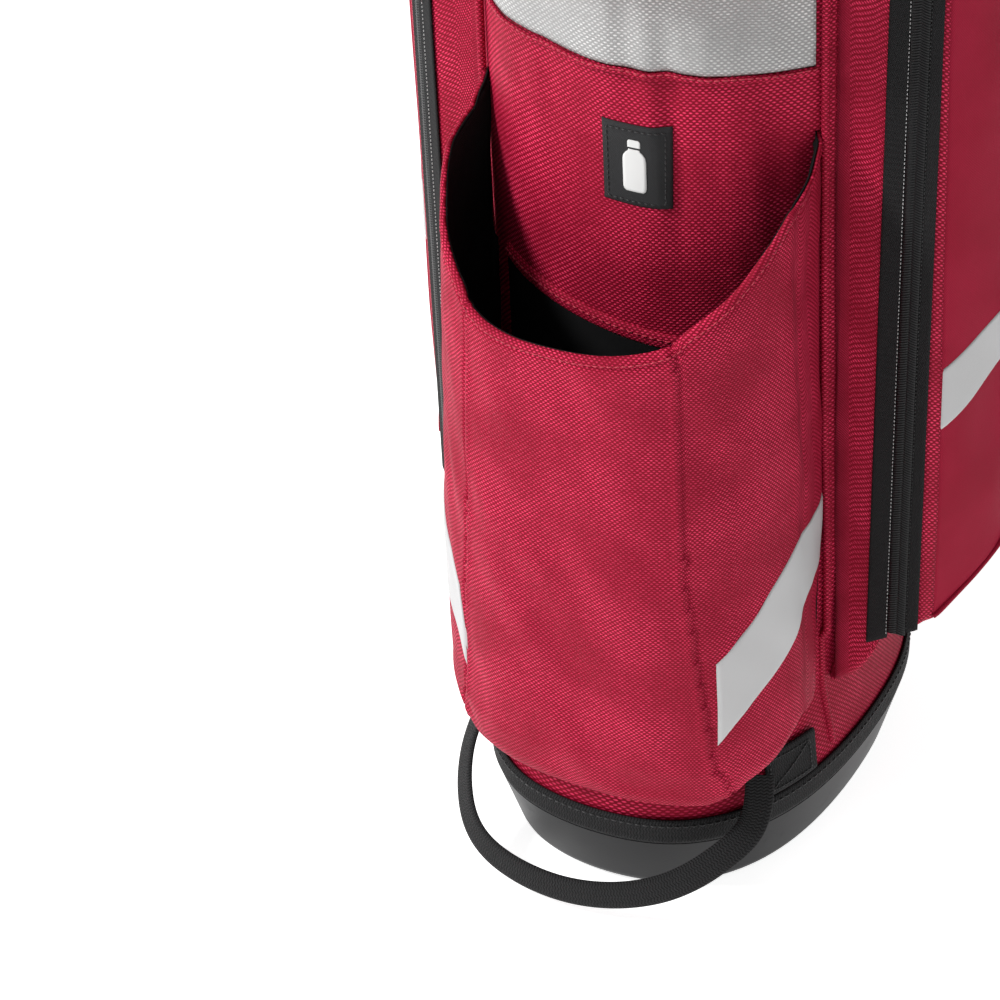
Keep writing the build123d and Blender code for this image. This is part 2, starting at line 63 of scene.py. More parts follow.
# ---- node graphs
class Graph:
    """A material with short calls for its nodes."""

    def __init__(self, name):
        self.material = bpy.data.materials.new(name)
        self.material.use_nodes = True
        self.tree = self.material.node_tree
        self.shader = self.tree.nodes["Principled BSDF"]

    def node(self, kind, **settings):
        node = self.tree.nodes.new(kind)
        for key, value in settings.items():
            setattr(node, key, value)
        return node

    def put(self, socket, value):
        if isinstance(value, bpy.types.NodeSocket):
            self.tree.links.new(value, socket)
        elif isinstance(value, (tuple, list)) and len(value) == 3 and socket.type == "RGBA":
            socket.default_value = (*value, 1)
        else:
            socket.default_value = value

    def calc(self, operation, *values, clamp=False):
        node = self.node("ShaderNodeMath", operation=operation, use_clamp=clamp)
        for socket, value in zip(node.inputs, values):
            self.put(socket, value)
        return node.outputs[0]

    def add(self, a, b):
        return self.calc("ADD", a, b)

    def sub(self, a, b, clamp=False):
        return self.calc("SUBTRACT", a, b, clamp=clamp)

    def mul(self, a, b, clamp=False):
        return self.calc("MULTIPLY", a, b, clamp=clamp)

    def fma(self, a, b, c, clamp=False):
        return self.calc("MULTIPLY_ADD", a, b, c, clamp=clamp)

    def off_centre(self, value):
        """Where a value lies between two whole numbers, from -0.5 to 0.5."""
        return self.sub(self.calc("FRACT", value), 0.5)

    def square(self, value, scale):
        return self.calc("POWER", self.mul(value, scale), 2.0)

    def wave(self, value, length):
        return self.calc("SINE", self.mul(value, 2 * math.pi / length))

    def staggered(self, row):
        """Half a step sideways in every second row."""
        return self.mul(self.calc("MODULO", self.calc("FLOOR", row), 2.0), 0.5)

    def mix(self, factor, a, b):
        node = self.node("ShaderNodeMix", data_type="RGBA")
        self.put(node.inputs[0], factor)
        self.put(node.inputs[6], a)
        self.put(node.inputs[7], b)
        return node.outputs[2]

    def noise(self, scale, detail=3.0, where=None, roughness=0.5):
        node = self.node("ShaderNodeTexNoise")
        node.inputs["Scale"].default_value = scale
        node.inputs["Detail"].default_value = detail
        node.inputs["Roughness"].default_value = roughness
        self.put(node.inputs["Vector"], where or self.place())
        return node.outputs["Fac"]

    def place(self):
        return self.node("ShaderNodeTexCoord").outputs["Object"]

    def cloth(self):
        """Distances along the cloth in metres: across and along."""
        node = self.node("ShaderNodeAttribute", attribute_name="cloth")
        split = self.node("ShaderNodeSeparateXYZ")
        self.put(split.inputs[0], node.outputs["Vector"])
        return split.outputs[0], split.outputs[1]

    def ramp(self, value, low, high):
        node = self.node("ShaderNodeMapRange", interpolation_type="SMOOTHSTEP")
        self.put(node.inputs["Value"], value)
        node.inputs["From Min"].default_value = low
        node.inputs["From Max"].default_value = high
        return node.outputs["Result"]

    def bump(self, height, distance, strength=1.0, under=None):
        node = self.node("ShaderNodeBump")
        node.inputs["Distance"].default_value = distance
        node.inputs["Strength"].default_value = strength
        self.put(node.inputs["Height"], height)
        if under:
            self.put(node.inputs["Normal"], under)
        return node.outputs["Normal"]

    def finish(self, color, roughness, normal=None, **fixed):
        self.put(self.shader.inputs["Base Color"], color)
        self.put(self.shader.inputs["Roughness"], roughness)
        if normal:
            self.put(self.shader.inputs["Normal"], normal)
        for key, value in fixed.items():
            self.put(self.shader.inputs[key.replace("_", " ")], value)
        return self.material


def dobby(name, low, mid, high, across=3.0 * MM, along=2.7 * MM, contrast=1.0, depth=0.35 * MM):
    """Coarse cloth: raised floats in staggered rows over a fine ground weave."""
    g = Graph(name)
    u, v = g.cloth()
    fu, fv = g.calc("DIVIDE", u, across), g.calc("DIVIDE", v, along / 2)
    wobble = g.noise(900, 2)
    fu = g.add(fu, g.mul(g.sub(wobble, 0.5), 0.30))
    row = g.calc("FLOOR", fv)
    shift = g.mul(g.calc("MODULO", row, 2.0), 0.5)
    du = g.off_centre(g.add(fu, shift))
    dv = g.off_centre(fv)
    du2 = g.square(g.calc("ABSOLUTE", du), 2.9)
    dv2 = g.square(g.calc("ABSOLUTE", dv), 2.3)
    dot = g.sub(1.0, g.add(du2, dv2), clamp=True)
    yarn = g.wave(v, 0.45 * MM)
    yarn = g.fma(yarn, 0.5, 0.5)
    cell = g.add(g.calc("FLOOR", g.add(fu, shift)), g.mul(row, 17.3))
    luck = g.node("ShaderNodeTexWhiteNoise", noise_dimensions="1D")
    g.put(luck.inputs["W"], cell)
    # painted sheen: each float lighter by a random amount, more so in broad patches
    shine = g.fma(luck.outputs["Value"], 0.40, 0.75)
    sheen_patches = g.ramp(g.noise(28, 4), 0.30, 0.72)
    shine = g.mul(shine, g.fma(sheen_patches, 0.7, 0.45))
    tone = g.mul(dot, shine)
    # painted shade: the ground darker in the troughs between yarns, under the floats' painted sheen
    ground = g.mix(g.fma(yarn, 0.55, 0.25), low, mid)
    color = g.mix(g.mul(tone, contrast, clamp=True), ground, high)
    height = g.add(dot, g.mul(yarn, 0.16))
    fuzz = g.noise(2600, 3)
    normal = g.bump(g.add(height, g.mul(fuzz, 0.25)), depth, 0.75)
    rough = g.fma(tone, -0.22, 0.66)
    return g.finish(color, rough, normal, Specular_IOR_Level=0.10)


def twill(name, low, mid, high, pitch=0.95 * MM, depth=0.14 * MM, rough=0.62, contrast=1.0,
          spec=0.22):
    """Fine cloth with diagonal ribs broken into yarns."""
    g = Graph(name)
    u, v = g.cloth()
    diag = g.add(u, g.mul(v, 0.62))
    rib = g.wave(diag, pitch)
    weft = g.wave(v, pitch * 0.8)
    height = g.fma(g.mul(rib, weft), 0.5, 0.5)
    fuzz = g.noise(1800, 3)
    # painted sheen: raised ribs lighter, more so in broad patches; the fuzz flecks are random fibre
    # tone
    sheen_patches = g.ramp(g.noise(22, 4), 0.28, 0.75)
    tone = g.mul(height, g.fma(sheen_patches, 0.6, 0.4))
    color = g.mix(g.fma(fuzz, 0.7, 0.15, clamp=True), low, mid)
    color = g.mix(g.mul(tone, 0.55 * contrast, clamp=True), color, high)
    normal = g.bump(g.add(height, g.mul(fuzz, 0.4)), depth, 0.7)
    return g.finish(color, g.fma(fuzz, 0.16, rough - 0.08), normal,
                    Specular_IOR_Level=spec)


def webbing(name, rib=1.5 * MM, rough=0.62):
    """Black narrow weave: ribs across the band, each made of slanting yarns."""
    g = Graph(name)
    u, v = g.cloth()
    zig = g.calc("ABSOLUTE", g.off_centre(g.calc("DIVIDE", v, 3.2 * MM)))
    lift = g.add(u, g.mul(zig, 1.6 * MM))
    ribs = g.calc("ABSOLUTE", g.calc("SINE", g.mul(lift, math.pi / rib)))
    yarn = g.calc("ABSOLUTE", g.calc("SINE", g.mul(v, math.pi / (0.8 * MM))))
    height = g.add(g.mul(ribs, 0.7), g.mul(yarn, 0.3))
    fuzz = g.noise(1500, 3)
    # painted sheen on the raised ribs and yarns, painted shade in the hollows between them
    color = g.mix(g.mul(height, g.add(fuzz, 0.4), clamp=True), BLACK_SHADE_AND_FLECK,
                  BLACK_SHEEN)
    normal = g.bump(g.add(height, g.mul(fuzz, 0.3)), 0.5 * MM, 1.0)
    return g.finish(color, g.fma(fuzz, 0.2, rough - 0.1), normal,
                    Specular_IOR_Level=0.14)


def airmesh(name):
    """Spacer mesh on the pads: rows of small open holes."""
    g = Graph(name)
    split = g.node("ShaderNodeSeparateXYZ")
    g.put(split.inputs[0], g.place())
    u = g.calc("DIVIDE", g.add(split.outputs[0], g.mul(
        split.outputs[1], 0.45)), 3.2 * MM)
    v = g.calc("DIVIDE", split.outputs[2], 1.7 * MM)
    shift = g.staggered(v)
    du, dv = g.off_centre(g.add(u, shift)), g.off_centre(v)
    far = g.add(g.square(du, 2.6), g.square(dv, 2.1))
    cord = g.ramp(far, 0.35, 0.95)
    fuzz = g.noise(1600, 3)
    # painted shade: the holes darker than the cords round them
    color = g.mix(cord, (0.003, 0.003, 0.003), (0.022, 0.022, 0.023))
    color = g.mix(g.mul(fuzz, 0.3), color, (0.05, 0.05, 0.052))
    normal = g.bump(cord, 0.5 * MM, 0.9)
    return g.finish(color, 0.7, normal, Specular_IOR_Level=0.2)


def moulded(name, color, rough=0.42, grain=1400, depth=0.05 * MM, spec=0.45):
    """Moulded plastic or rubber: fine grain, faint scuffs, uneven gloss."""
    g = Graph(name)
    fine = g.noise(grain, 3)
    broad = g.noise(14, 4)
    scuff = g.ramp(g.noise(60, 6, roughness=0.7), 0.58, 0.80)
    pale = tuple(min(1.0, c * 1.5 + 0.02) for c in color)
    tone = g.mix(g.mul(scuff, 0.35), color, pale)
    tone = g.mix(g.mul(broad, 0.25), tone, tuple(c * 0.7 for c in color))
    level = g.fma(broad, 0.18, rough - 0.09)
    level = g.fma(scuff, 0.12, level)
    return g.finish(tone, level, g.bump(fine, depth, 0.6), Specular_IOR_Level=spec)


def metal(name, color, rough=0.28, stretch=(1, 1, 1), depth=0.02 * MM):
    """Drawn or cast metal with fine lines along its length."""
    g = Graph(name)
    scale = g.node("ShaderNodeMapping")
    g.put(scale.inputs["Vector"], g.place())
    scale.inputs["Scale"].default_value = stretch
    lines = g.noise(1100, 4, scale.outputs[0])
    broad = g.noise(25, 3)
    tone = g.mix(g.mul(lines, 0.4), color, tuple(c * 0.6 for c in color))
    return g.finish(tone, g.fma(broad, 0.14, rough - 0.05),
                    g.bump(lines, depth, 0.4), Metallic=1.0)


def thread(name, color):
    g = Graph(name)
    twist = g.noise(3500, 2)
    return g.finish(g.mix(twist, tuple(c * 0.55 for c in color), color), 0.5,
                    g.bump(twist, 0.1 * MM, 0.6), Sheen_Weight=0.15, Sheen_Roughness=0.5)


M = {
    "crimson": dobby("crimson_dobby", CRIMSON_SHADE, CRIMSON, CRIMSON_SHEEN),
    "crimson_fine": dobby("crimson_dobby_fine", CRIMSON_SHADE, CRIMSON, CRIMSON_SHEEN, 2.5 * MM, 2.3 * MM,
                          0.9, 0.30 * MM),
    "crimson_twill": twill("crimson_twill", (0.15, 0.002, 0.010), (0.34, 0.007, 0.030),
                           (0.56, 0.026, 0.080), spec=0.08),
    "grey": dobby("grey_dobby", GREY_SHADE, GREY, GREY_SHEEN, contrast=0.85),
    "stripe": twill("stripe_cloth", (0.47, 0.47, 0.47), STRIPE, (0.66, 0.66, 0.66), 0.5 * MM,
                    0.05 * MM, 0.5, 0.3),
    "lining": twill("black_lining", BLACK_SHADE_AND_FLECK, BLACK, (0.02, 0.02, 0.021), 0.6 * MM, 0.1 * MM, 0.7,
                    spec=0.1),
    "webbing": webbing("black_webbing"),
    "tape": webbing("zip_tape_weave", 0.8 * MM, 0.7),
    "patch": twill("badge_cloth", (0.012, 0.012, 0.013), (0.030, 0.030, 0.031),
                   (0.065, 0.065, 0.066), 0.8 * MM, 0.12 * MM,
                   spec=0.12),
    "mesh": airmesh("black_air_mesh"),
    "boot": moulded("boot_rubber", (0.009, 0.009, 0.010), 0.42, 1100, 0.06 * MM, 0.16),
    "plastic": moulded("black_plastic", (0.020, 0.020, 0.022), 0.40, 1500, 0.06 * MM),
    "rubber": moulded("shoe_rubber", (0.014, 0.014, 0.014), 0.62, 900, 0.12 * MM, 0.3),
    "coil": moulded("zip_coil_nylon", (0.004, 0.004, 0.0045), 0.36, 2000, 0.02 * MM, 0.22),
    "slider": metal("slider_metal", (0.055, 0.055, 0.058), 0.34),
    "tube": metal("leg_anodised", (0.10, 0.10, 0.105), 0.33, (1, 1, 0.03)),
    "steel": metal("wire_steel", (0.50, 0.50, 0.52), 0.26, (1, 1, 0.05)),
    "ink": moulded("badge_print", (0.72, 0.72, 0.71), 0.5, 2500, 0.03 * MM, 0.3),
    "red_thread": thread("crimson_thread", (0.60, 0.02, 0.06)),
    "black_thread": thread("black_thread", (0.010, 0.010, 0.011)),
    "grey_thread": thread("grey_thread", (0.62, 0.62, 0.62)),
}

# what each look is made of, unless a piece says otherwise
SLOTS = {"crimson": "crimson_cloth", "crimson_fine": "crimson_cloth",
         "crimson_twill": "crimson_cloth", "red_thread": "crimson_cloth", "grey": "grey_cloth",
         "stripe": "grey_cloth", "ink": "grey_cloth", "lining": "black_lining",
         "patch": "black_lining", "webbing": "black_webbing", "black_thread": "black_webbing",
         "tape": "zip_tape", "coil": "zip_tape"}


# ---- reading shapes off the frame
_trees = {}


def tree_of(name):
    """Ray tree of a CAD node or of a finished piece."""
    if name not in _trees:
        mesh = (NODES.get(name) or bpy.data.objects[name]).data
        _trees[name] = BVHTree.FromPolygons([v.co.copy() for v in mesh.vertices],
                                            [tuple(p.vertices) for p in mesh.polygons])
    return _trees[name]


def cast(name, start, towards):
    return tree_of(name).ray_cast(Vector(start), Vector(towards).normalized())[0]


def run_along(points):
    """Distance of each point along their line."""
    return np.r_[0, np.cumsum(np.linalg.norm(np.diff(points, axis=0), axis=1))]


def read(at, run, points):
    """Point at a distance along a line."""
    return np.array([np.interp(at, run, points[:, i]) for i in range(3)])


def look_in(name, centre, angle, z, inside=False):
    """Point of a node seen at an angle round centre, from outside or from inside."""
    out = Vector((math.cos(angle), math.sin(angle), 0))
    middle = Vector((centre[0], centre[1], z))
    if inside:
        return cast(name, middle, out)
    hit = cast(name, middle + out * 0.6, -out)
    return hit if hit is not None and (hit - middle) @ out > 0.01 else None


def skin(name, centre, start, end, step_u, step_v, closed=False, inside=False, level=None):
    """Grid of points over a CAD solid, rows bottom to top, columns evenly spaced round it.
    Steps are in millimetres."""
    low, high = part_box(name)
    level = level or (low.z + high.z) / 2
    angles = np.linspace(math.radians(start), math.radians(end), 721)
    seen = [(a, look_in(name, centre, a, level, inside)) for a in angles]
    seen = [(a, p) for a, p in seen if p is not None]
    points = np.array([p for _, p in seen])
    run = run_along(points)
    count = max(8, int(run[-1] / (step_u * MM)))
    stops = np.linspace(0, run[-1], count + 1)
    columns = np.interp(stops, run, [a for a, _ in seen])
    if closed:
        columns = columns[:-1]
    rows = max(4, int((high.z - low.z) / (step_v * MM)))
    grid = np.zeros((rows + 1, len(columns), 3))
    probe = 3 * MM
    for k, a in enumerate(columns):
        hits = [z for z in np.arange(low.z + 1e-4, high.z, probe)
                if look_in(name, centre, a, z, inside) is not None]
        if not hits:
            grid[:, k] = grid[:, k - 1]
            continue
        ends = []
        for z, way in ((hits[0], -1), (hits[-1], 1)):
            good, bad = z, z + way * probe
            for _ in range(7):
                half = (good + bad) / 2
                good, bad = (half, bad) if look_in(name, centre, a, half, inside) else (good, half)
            ends.append(good)
        for j, z in enumerate(np.linspace(*ends, rows + 1)):
            p = look_in(name, centre, a, z, inside)
            grid[j, k] = p if p is not None else grid[j - 1, k]
    return grid


def smooth(grid, times, closed=False):
    """Evens out a grid without moving its first and last rows and columns."""
    for _ in range(times):
        wide = 0.5 * grid + 0.25 * (np.roll(grid, 1, 1) + np.roll(grid, -1, 1))
        if not closed:
            wide[:, 0], wide[:, -1] = grid[:, 0], grid[:, -1]
        grid = wide.copy()
        grid[1:-1] = 0.5 * wide[1:-1] + 0.25 * (wide[:-2] + wide[2:])
    return grid


def lattice(u, v, size_u, size_v, seed):
    """Smooth random field from -1 to 1 over distances u and v, with sizes in millimetres."""
    rng = np.random.default_rng(seed)
    table = rng.uniform(-1, 1, (64, 64))
    x, y = u / (size_u * MM) + 1000, v / (size_v * MM) + 1000
    xi, yi = np.floor(x).astype(int), np.floor(y).astype(int)
    fx, fy = x - xi, y - yi
    fx, fy = fx * fx * (3 - 2 * fx), fy * fy * (3 - 2 * fy)
    pick = lambda a, b: table[a % 64, b % 64]
    low = pick(xi, yi) * (1 - fx) + pick(xi + 1, yi) * fx
    high = pick(xi, yi + 1) * (1 - fx) + pick(xi + 1, yi + 1) * fx
    return low * (1 - fy) + high * fy


def bell(x, width):
    return np.exp(-(x / width) ** 2)


def facing(grid, closed, away):
    du = np.roll(grid, -1, 1) - np.roll(grid, 1, 1) if closed else np.gradient(grid, axis=1)
    n = np.cross(du, np.gradient(grid, axis=0))
    n /= np.linalg.norm(n, axis=2, keepdims=True) + 1e-12
    return n if (n * (grid - np.array(away))).sum() > 0 else -n


def raised(grid, lift, away=CORE, closed=False):
    """Grid moved outwards by the lift at each of its points."""
    return grid + facing(grid, closed, away) * lift[..., None]


def distances(grid):
    """Distance along the cloth from its middle column, and up from its first row."""
    du = np.linalg.norm(np.diff(grid, axis=1), axis=2)
    u = np.concatenate([np.zeros((len(grid), 1)), np.cumsum(du, axis=1)], 1)
    u -= u[:, u.shape[1] // 2][:, None]
    dv = np.linalg.norm(np.diff(grid, axis=0), axis=2)
    v = np.concatenate([np.zeros((1, grid.shape[1])), np.cumsum(dv, axis=0)], 0)
    return u, v


def weave(grid):
    """Straight threads for a cloth: one spacing for every row, heights up each column."""
    u, v = distances(grid)
    return np.broadcast_to(np.median(u, axis=0), u.shape), v + grid[:1, :, 2]


def rim(grid, sides=True, ends=True):
    """Distance of each point from the nearest edge of its row and column."""
    u, v = distances(grid)
    gaps = [u - u.min(1)[:, None], u.max(1)[:, None] - u] * sides + [v, v.max(0) - v] * ends
    return np.minimum.reduce(gaps)


# ---- making pieces
def threads(mesh, cloth):
    """Stores each point's place in the weave."""
    layer = mesh.attributes.new("cloth", "FLOAT_VECTOR", "POINT")
    layer.data.foreach_set("vector", np.asarray(cloth, np.float32).ravel())


def register(piece, slot, instead=None, body="bag"):
    """Attaches a piece to the body it rides on and hides the CAD node it stands in for; its slot,
    what it is made of, is not used.
    """
    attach(piece, body)
    if instead:
        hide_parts(instead)
    return piece


def mesh_piece(name, verts, faces, look, instead=None, cloth=None, body="bag", slot=None):
    mesh = bpy.data.meshes.new(name)
    mesh.from_pydata([tuple(v) for v in verts], [], [tuple(f) for f in faces])
    mesh.polygons.foreach_set("use_smooth", [True] * len(mesh.polygons))
    if cloth is not None:
        threads(mesh, cloth)
    mesh.materials.append(M[look])
    mesh.validate()
    piece = bpy.data.objects.new(name, mesh)
    bpy.context.scene.collection.objects.link(piece)
    return register(piece, slot or SLOTS[look], instead, body)


def tube_faces(rings, sides, base=0):
    """Faces of a tube from its rings of points, capped at both ends."""
    faces = [[base + i * sides + k, base + i * sides + (k + 1) % sides,
              base + (i + 1) * sides + (k + 1) % sides, base + (i + 1) * sides + k]
             for i in range(rings - 1) for k in range(sides)]
    first = [base + k for k in range(sides)]
    return faces + [first[::-1], [(rings - 1) * sides + k for k in first]]


def sheet_piece(name, grid, look, thick, instead=None, closed=False, away=CORE, offset=0.0):
    """Cloth of some thickness over a grid of points; its outside is offset from the grid."""
    n = facing(grid, closed, away)
    rows, cols = grid.shape[:2]
    u, v = weave(grid)
    outer = grid + n * offset
    inner = outer - n * thick
    verts = np.concatenate([outer.reshape(-1, 3), inner.reshape(-1, 3)])
    uv = np.stack([u, v, 0 * u], 2).reshape(-1, 3)
    at = lambda side, j, k: side * rows * cols + j * cols + k % cols
    last = cols if closed else cols - 1
    turn = np.cross(outer[0, 1] - outer[0, 0], outer[1, 0] - outer[0, 0]) @ n[0, 0] > 0
    faces = []
    for j in range(rows - 1):
        for k in range(last):
            q = [at(0, j, k), at(0, j, k + 1), at(0, j + 1, k + 1), at(0, j + 1, k)]
            p = [at(1, j, k), at(1, j + 1, k), at(1, j + 1, k + 1), at(1, j, k + 1)]
            faces += [q, p] if turn else [q[::-1], p[::-1]]
    rim = [((0, k), (0, k + 1)) for k in range(last)]
    rim += [((rows - 1, k + 1), (rows - 1, k)) for k in range(last)]
    if not closed:
        rim += [((j + 1, 0), (j, 0)) for j in range(rows - 1)]
        rim += [((j, cols - 1), (j + 1, cols - 1)) for j in range(rows - 1)]
    for a, b in rim:
        q = [at(0, *b), at(0, *a), at(1, *a), at(1, *b)]
        faces.append(q if turn else q[::-1])
    return mesh_piece(name, verts, faces, look, instead, np.concatenate([uv, uv]))


def tube_piece(name, path, radius, look, sides=8, instead=None):
    """Round cord or piping along points."""
    t = np.gradient(path, axis=0)
    t /= np.linalg.norm(t, axis=1, keepdims=True)
    ref = np.array([0, 0, 1.0]) if abs(t[:, 2]).mean() < 0.8 else np.array([1.0, 0, 0])
    a = np.cross(t, ref)
    a /= np.linalg.norm(a, axis=1, keepdims=True)
    b = np.cross(a, t)
    turns = [2 * math.pi * k / sides for k in range(sides)]
    verts = [p + radius * (math.cos(c) * a[i] + math.sin(c) * b[i])
             for i, p in enumerate(path) for c in turns]
    cloth = [(c * radius, s, 0) for s in run_along(path) for c in turns]
    return mesh_piece(name, verts, tube_faces(len(path), sides), look, instead, cloth)


def stitches(name, lines, look, pitch=3.6, length=2.6, radius=0.34, slot=None):
    """Rows of thread stitches, each a short bead that dips into the cloth at both ends, with sizes
    in millimetres.  Each line is (points, outward directions)."""
    pitch, length, radius = pitch * MM, length * MM, radius * MM
    verts, faces = [], []
    profile = [(-0.5, 0.35, -0.6), (-0.36, 0.9, 0.1), (0.0, 1.0, 0.5), (0.36, 0.9, 0.1),
               (0.5, 0.35, -0.6)]
    sides = 6
    for points, ups in lines:
        run = run_along(points)
        for s in np.arange(pitch / 2, run[-1] - pitch / 4, pitch):
            at, up = read(s, run, points), read(s, run, ups)
            d = read(min(s + MM, run[-1]), run, points) - read(max(s - MM, 0), run, points)
            d /= np.linalg.norm(d) + 1e-12
            side = np.cross(d, up)
            side /= np.linalg.norm(side) + 1e-12
            up = np.cross(side, d)
            faces += tube_faces(len(profile), sides, len(verts))
            for along, wide, lift in profile:
                mid = at + d * along * length + up * lift * radius
                for k in range(sides):
                    c = 2 * math.pi * k / sides
                    verts.append(mid + radius * wide * (math.cos(c) * side + math.sin(c) * up))
    return mesh_piece(name, verts, faces, look, slot=slot)


def row_line(grid, j, away=CORE, lift=0.2 * MM):
    """Points and outward directions along row j of a grid."""
    n = facing(grid, False, away)
    return grid[j] + n[j] * lift, n[j]


def below_edge(grid, depth, away, lift=0.15 * MM):
    """Points and outward directions at a distance below the top row."""
    n = facing(grid, False, away)
    points, ups = [], []
    for k in range(grid.shape[1]):
        run = run_along(grid[::-1, k])
        points.append(read(depth, run, grid[::-1, k]))
        ups.append(read(depth, run, n[::-1, k]))
    points, ups = np.array(points), np.array(ups)
    return points + ups * lift, ups


# ---- the body
BAG_RADIUS = 0.105                     # turns angles round the bag into distances


def body_folds(grid):
    """Soft upright folds of the body cloth, deepest towards the right of the front."""
    angle = np.arctan2(grid[..., 1] - AXIS[1], grid[..., 0])
    along, z = angle * BAG_RADIUS, grid[..., 2]
    front = bell(angle + math.radians(62), 0.42) + 0.45 * bell(angle + math.radians(118), 0.5)
    under_cuff = np.clip((0.84 - z) / 0.05, 0, 1)
    high_up = np.clip((z - 0.30) / 0.12, 0, 1) * under_cuff
    folds = lattice(along + 0.05 * z, z, 11, 95, 3) * 1.25
    folds += lattice(along, z, 24, 150, 4) * 0.7
    broad = lattice(along, z, 60, 90, 5) * 0.5
    rest = np.clip((z - 0.06) / 0.05, 0, 1) * under_cuff
    return (2.3 * folds * front * high_up + broad * rest - 1.4 * front * high_up) * MM


def body():
    grid = smooth(skin("body_shell", AXIS, -180, 180, 3, 3.6, closed=True), 2, True)
    grid = raised(grid, body_folds(grid), closed=True)
    sheet_piece("body_cloth", grid, "crimson", 3.2 * MM, "body_shell", True, offset=-0.2 * MM)
    inner = skin("body_lining", AXIS, -180, 180, 5, 9, closed=True, inside=True)
    around = np.arctan2(inner[..., 1], inner[..., 0]) * 0.1
    ripple = lattice(around, inner[..., 2], 30, 120, 8)
    inner = raised(inner, ripple * 0.5 * MM - 0.3 * MM, closed=True)
    sheet_piece("body_lining_cloth", inner, "lining", 0.4 * MM, "body_lining", True)


def front_panel():
    grid = skin("front_panel_upper", AXIS, -160, -20, 2.4, 3.0)
    up = distances(grid)[1]
    roll = -0.7 * MM * bell(rim(grid, ends=False), 1.6 * MM) - 0.7 * MM * bell(up, 1.2 * MM)
    grid = raised(grid, body_folds(grid) + roll)
    sheet_piece("front_panel_cloth", grid, "grey", 1.0 * MM, "front_panel_upper")
    # turned crimson edge under the grey cloth, with its row of stitches
    band = skin("front_panel_seam", AXIS, -160, -20, 2.4, 0.8)
    u, v = distances(band)
    crown = -0.8 * MM * (2 * v / v.max(0) - 1) ** 4
    band = raised(band, body_folds(band) + crown + 0.25 * MM)
    band[..., 2] += 0.8 * MM * lattice(u, 0 * u, 15, 1, 9)
    sheet_piece("front_seam_cloth", band, "crimson_fine", 1.2 * MM, "front_panel_seam")
    stitches("front_seam_stitches", [row_line(band, 3)], "red_thread")


def centre_line(name):
    """Middle of a thin upright CAD cord, bottom to top, from its level rings."""
    co = vectors(NODES[name].data, "co")
    rings = [co[abs(co[:, 2] - z) < 0.2 * MM] for z in np.unique(co[:, 2].round(4))]
    mids = np.array([(ring.min(0) + ring.max(0)) / 2 for ring in rings if len(ring) > 5])
    levels = np.arange(mids[0, 2], mids[-1, 2], 6 * MM)
    return np.stack([np.interp(levels, mids[:, 2], mids[:, 0]),
                     np.interp(levels, mids[:, 2], mids[:, 1]), levels], 1)


def piping():
    """Corner piping, carried on below the CAD cord down to the base."""
    step = 6 * MM
    for side, sign in SIDES:
        line = centre_line(f"corner_piping_{side}")
        y, top = line[0, 1], line[0, 2]
        tail = [tuple(side_cast("body_cloth", y + (top - z) * 0.10, z, sign))
                for z in np.arange(0.056, top - step, step)]
        tube_piece(f"corner_piping_cloth_{side}", np.concatenate([tail, line]), 1.9 * MM,
                   "crimson_fine", 12, f"corner_piping_{side}")


# ---- the bottle pocket
BOTTLE_CORE = (0.0, -0.060, 0.2)


def bottle_pocket():
    grid = smooth(skin("bottle_pocket", BOTTLE_CORE, -205, 25, 1.5, 1.9, level=0.22), 2)
    u, v = distances(grid)
    down = v.max(0) - v
    corner = np.zeros_like(u)
    for sign in (-1, 1):
        best = np.argmax(sign * 0.54 * grid[..., 0] - 0.84 * grid[..., 1], axis=1)
        gap = (u - u[np.arange(len(u)), best][:, None]) * sign
        corner += -1.7 * bell(gap - 1.4 * MM, 0.9 * MM) + 0.7 * bell(gap + 1.2 * MM, 1.6 * MM)
    hem = 0.55 * (1 - np.clip((down - 4.0 * MM) / (1.2 * MM), 0, 1))
    hem -= 0.9 * bell(down - 5 * MM, 0.9 * MM)
    soft = lattice(u, v, 38, 60, 12) * 1.5
    soft += lattice(u + v * 0.6, v - u * 0.5, 16, 45, 13) * 0.8
    front = np.clip(1 - (abs(grid[..., 0]) / (50 * MM)) ** 4, 0, 1)
    sag = 1.4 * bell(v - 40 * MM, 35 * MM) * front
    foot = -1.2 * bell(v, 3 * MM)
    lift = corner + hem + soft * np.clip(v / (10 * MM), 0, 1) + sag + foot
    grid = raised(grid, lift * MM, BOTTLE_CORE)
    sheet_piece("bottle_pocket_cloth", grid, "crimson_fine", 1.6 * MM, "bottle_pocket",
                away=BOTTLE_CORE)
    inside = grid - facing(grid, False, BOTTLE_CORE) * 1.75 * MM
    inside[-1, :, 2] += 0.7 * MM
    sheet_piece("bottle_lining_cloth", inside, "lining", 0.7 * MM, "bottle_pocket_lining",
                away=BOTTLE_CORE)
    stitches("bottle_lip_stitches", [below_edge(grid, 5.0 * MM, BOTTLE_CORE)], "red_thread", 3.4,
             2.6, 0.3)


def over(name, centre, angles, levels, lift):
    """Grid laid on a finished piece at these angles and heights (heights may vary per angle)."""
    grid = []
    for row in levels:
        line = []
        for a, z in zip(angles, row):
            p = look_in(name, centre, a, z)
            out = Vector((math.cos(a), math.sin(a), 0))
            line.append(tuple(p + out * lift))
        grid.append(line)
    return np.array(grid)


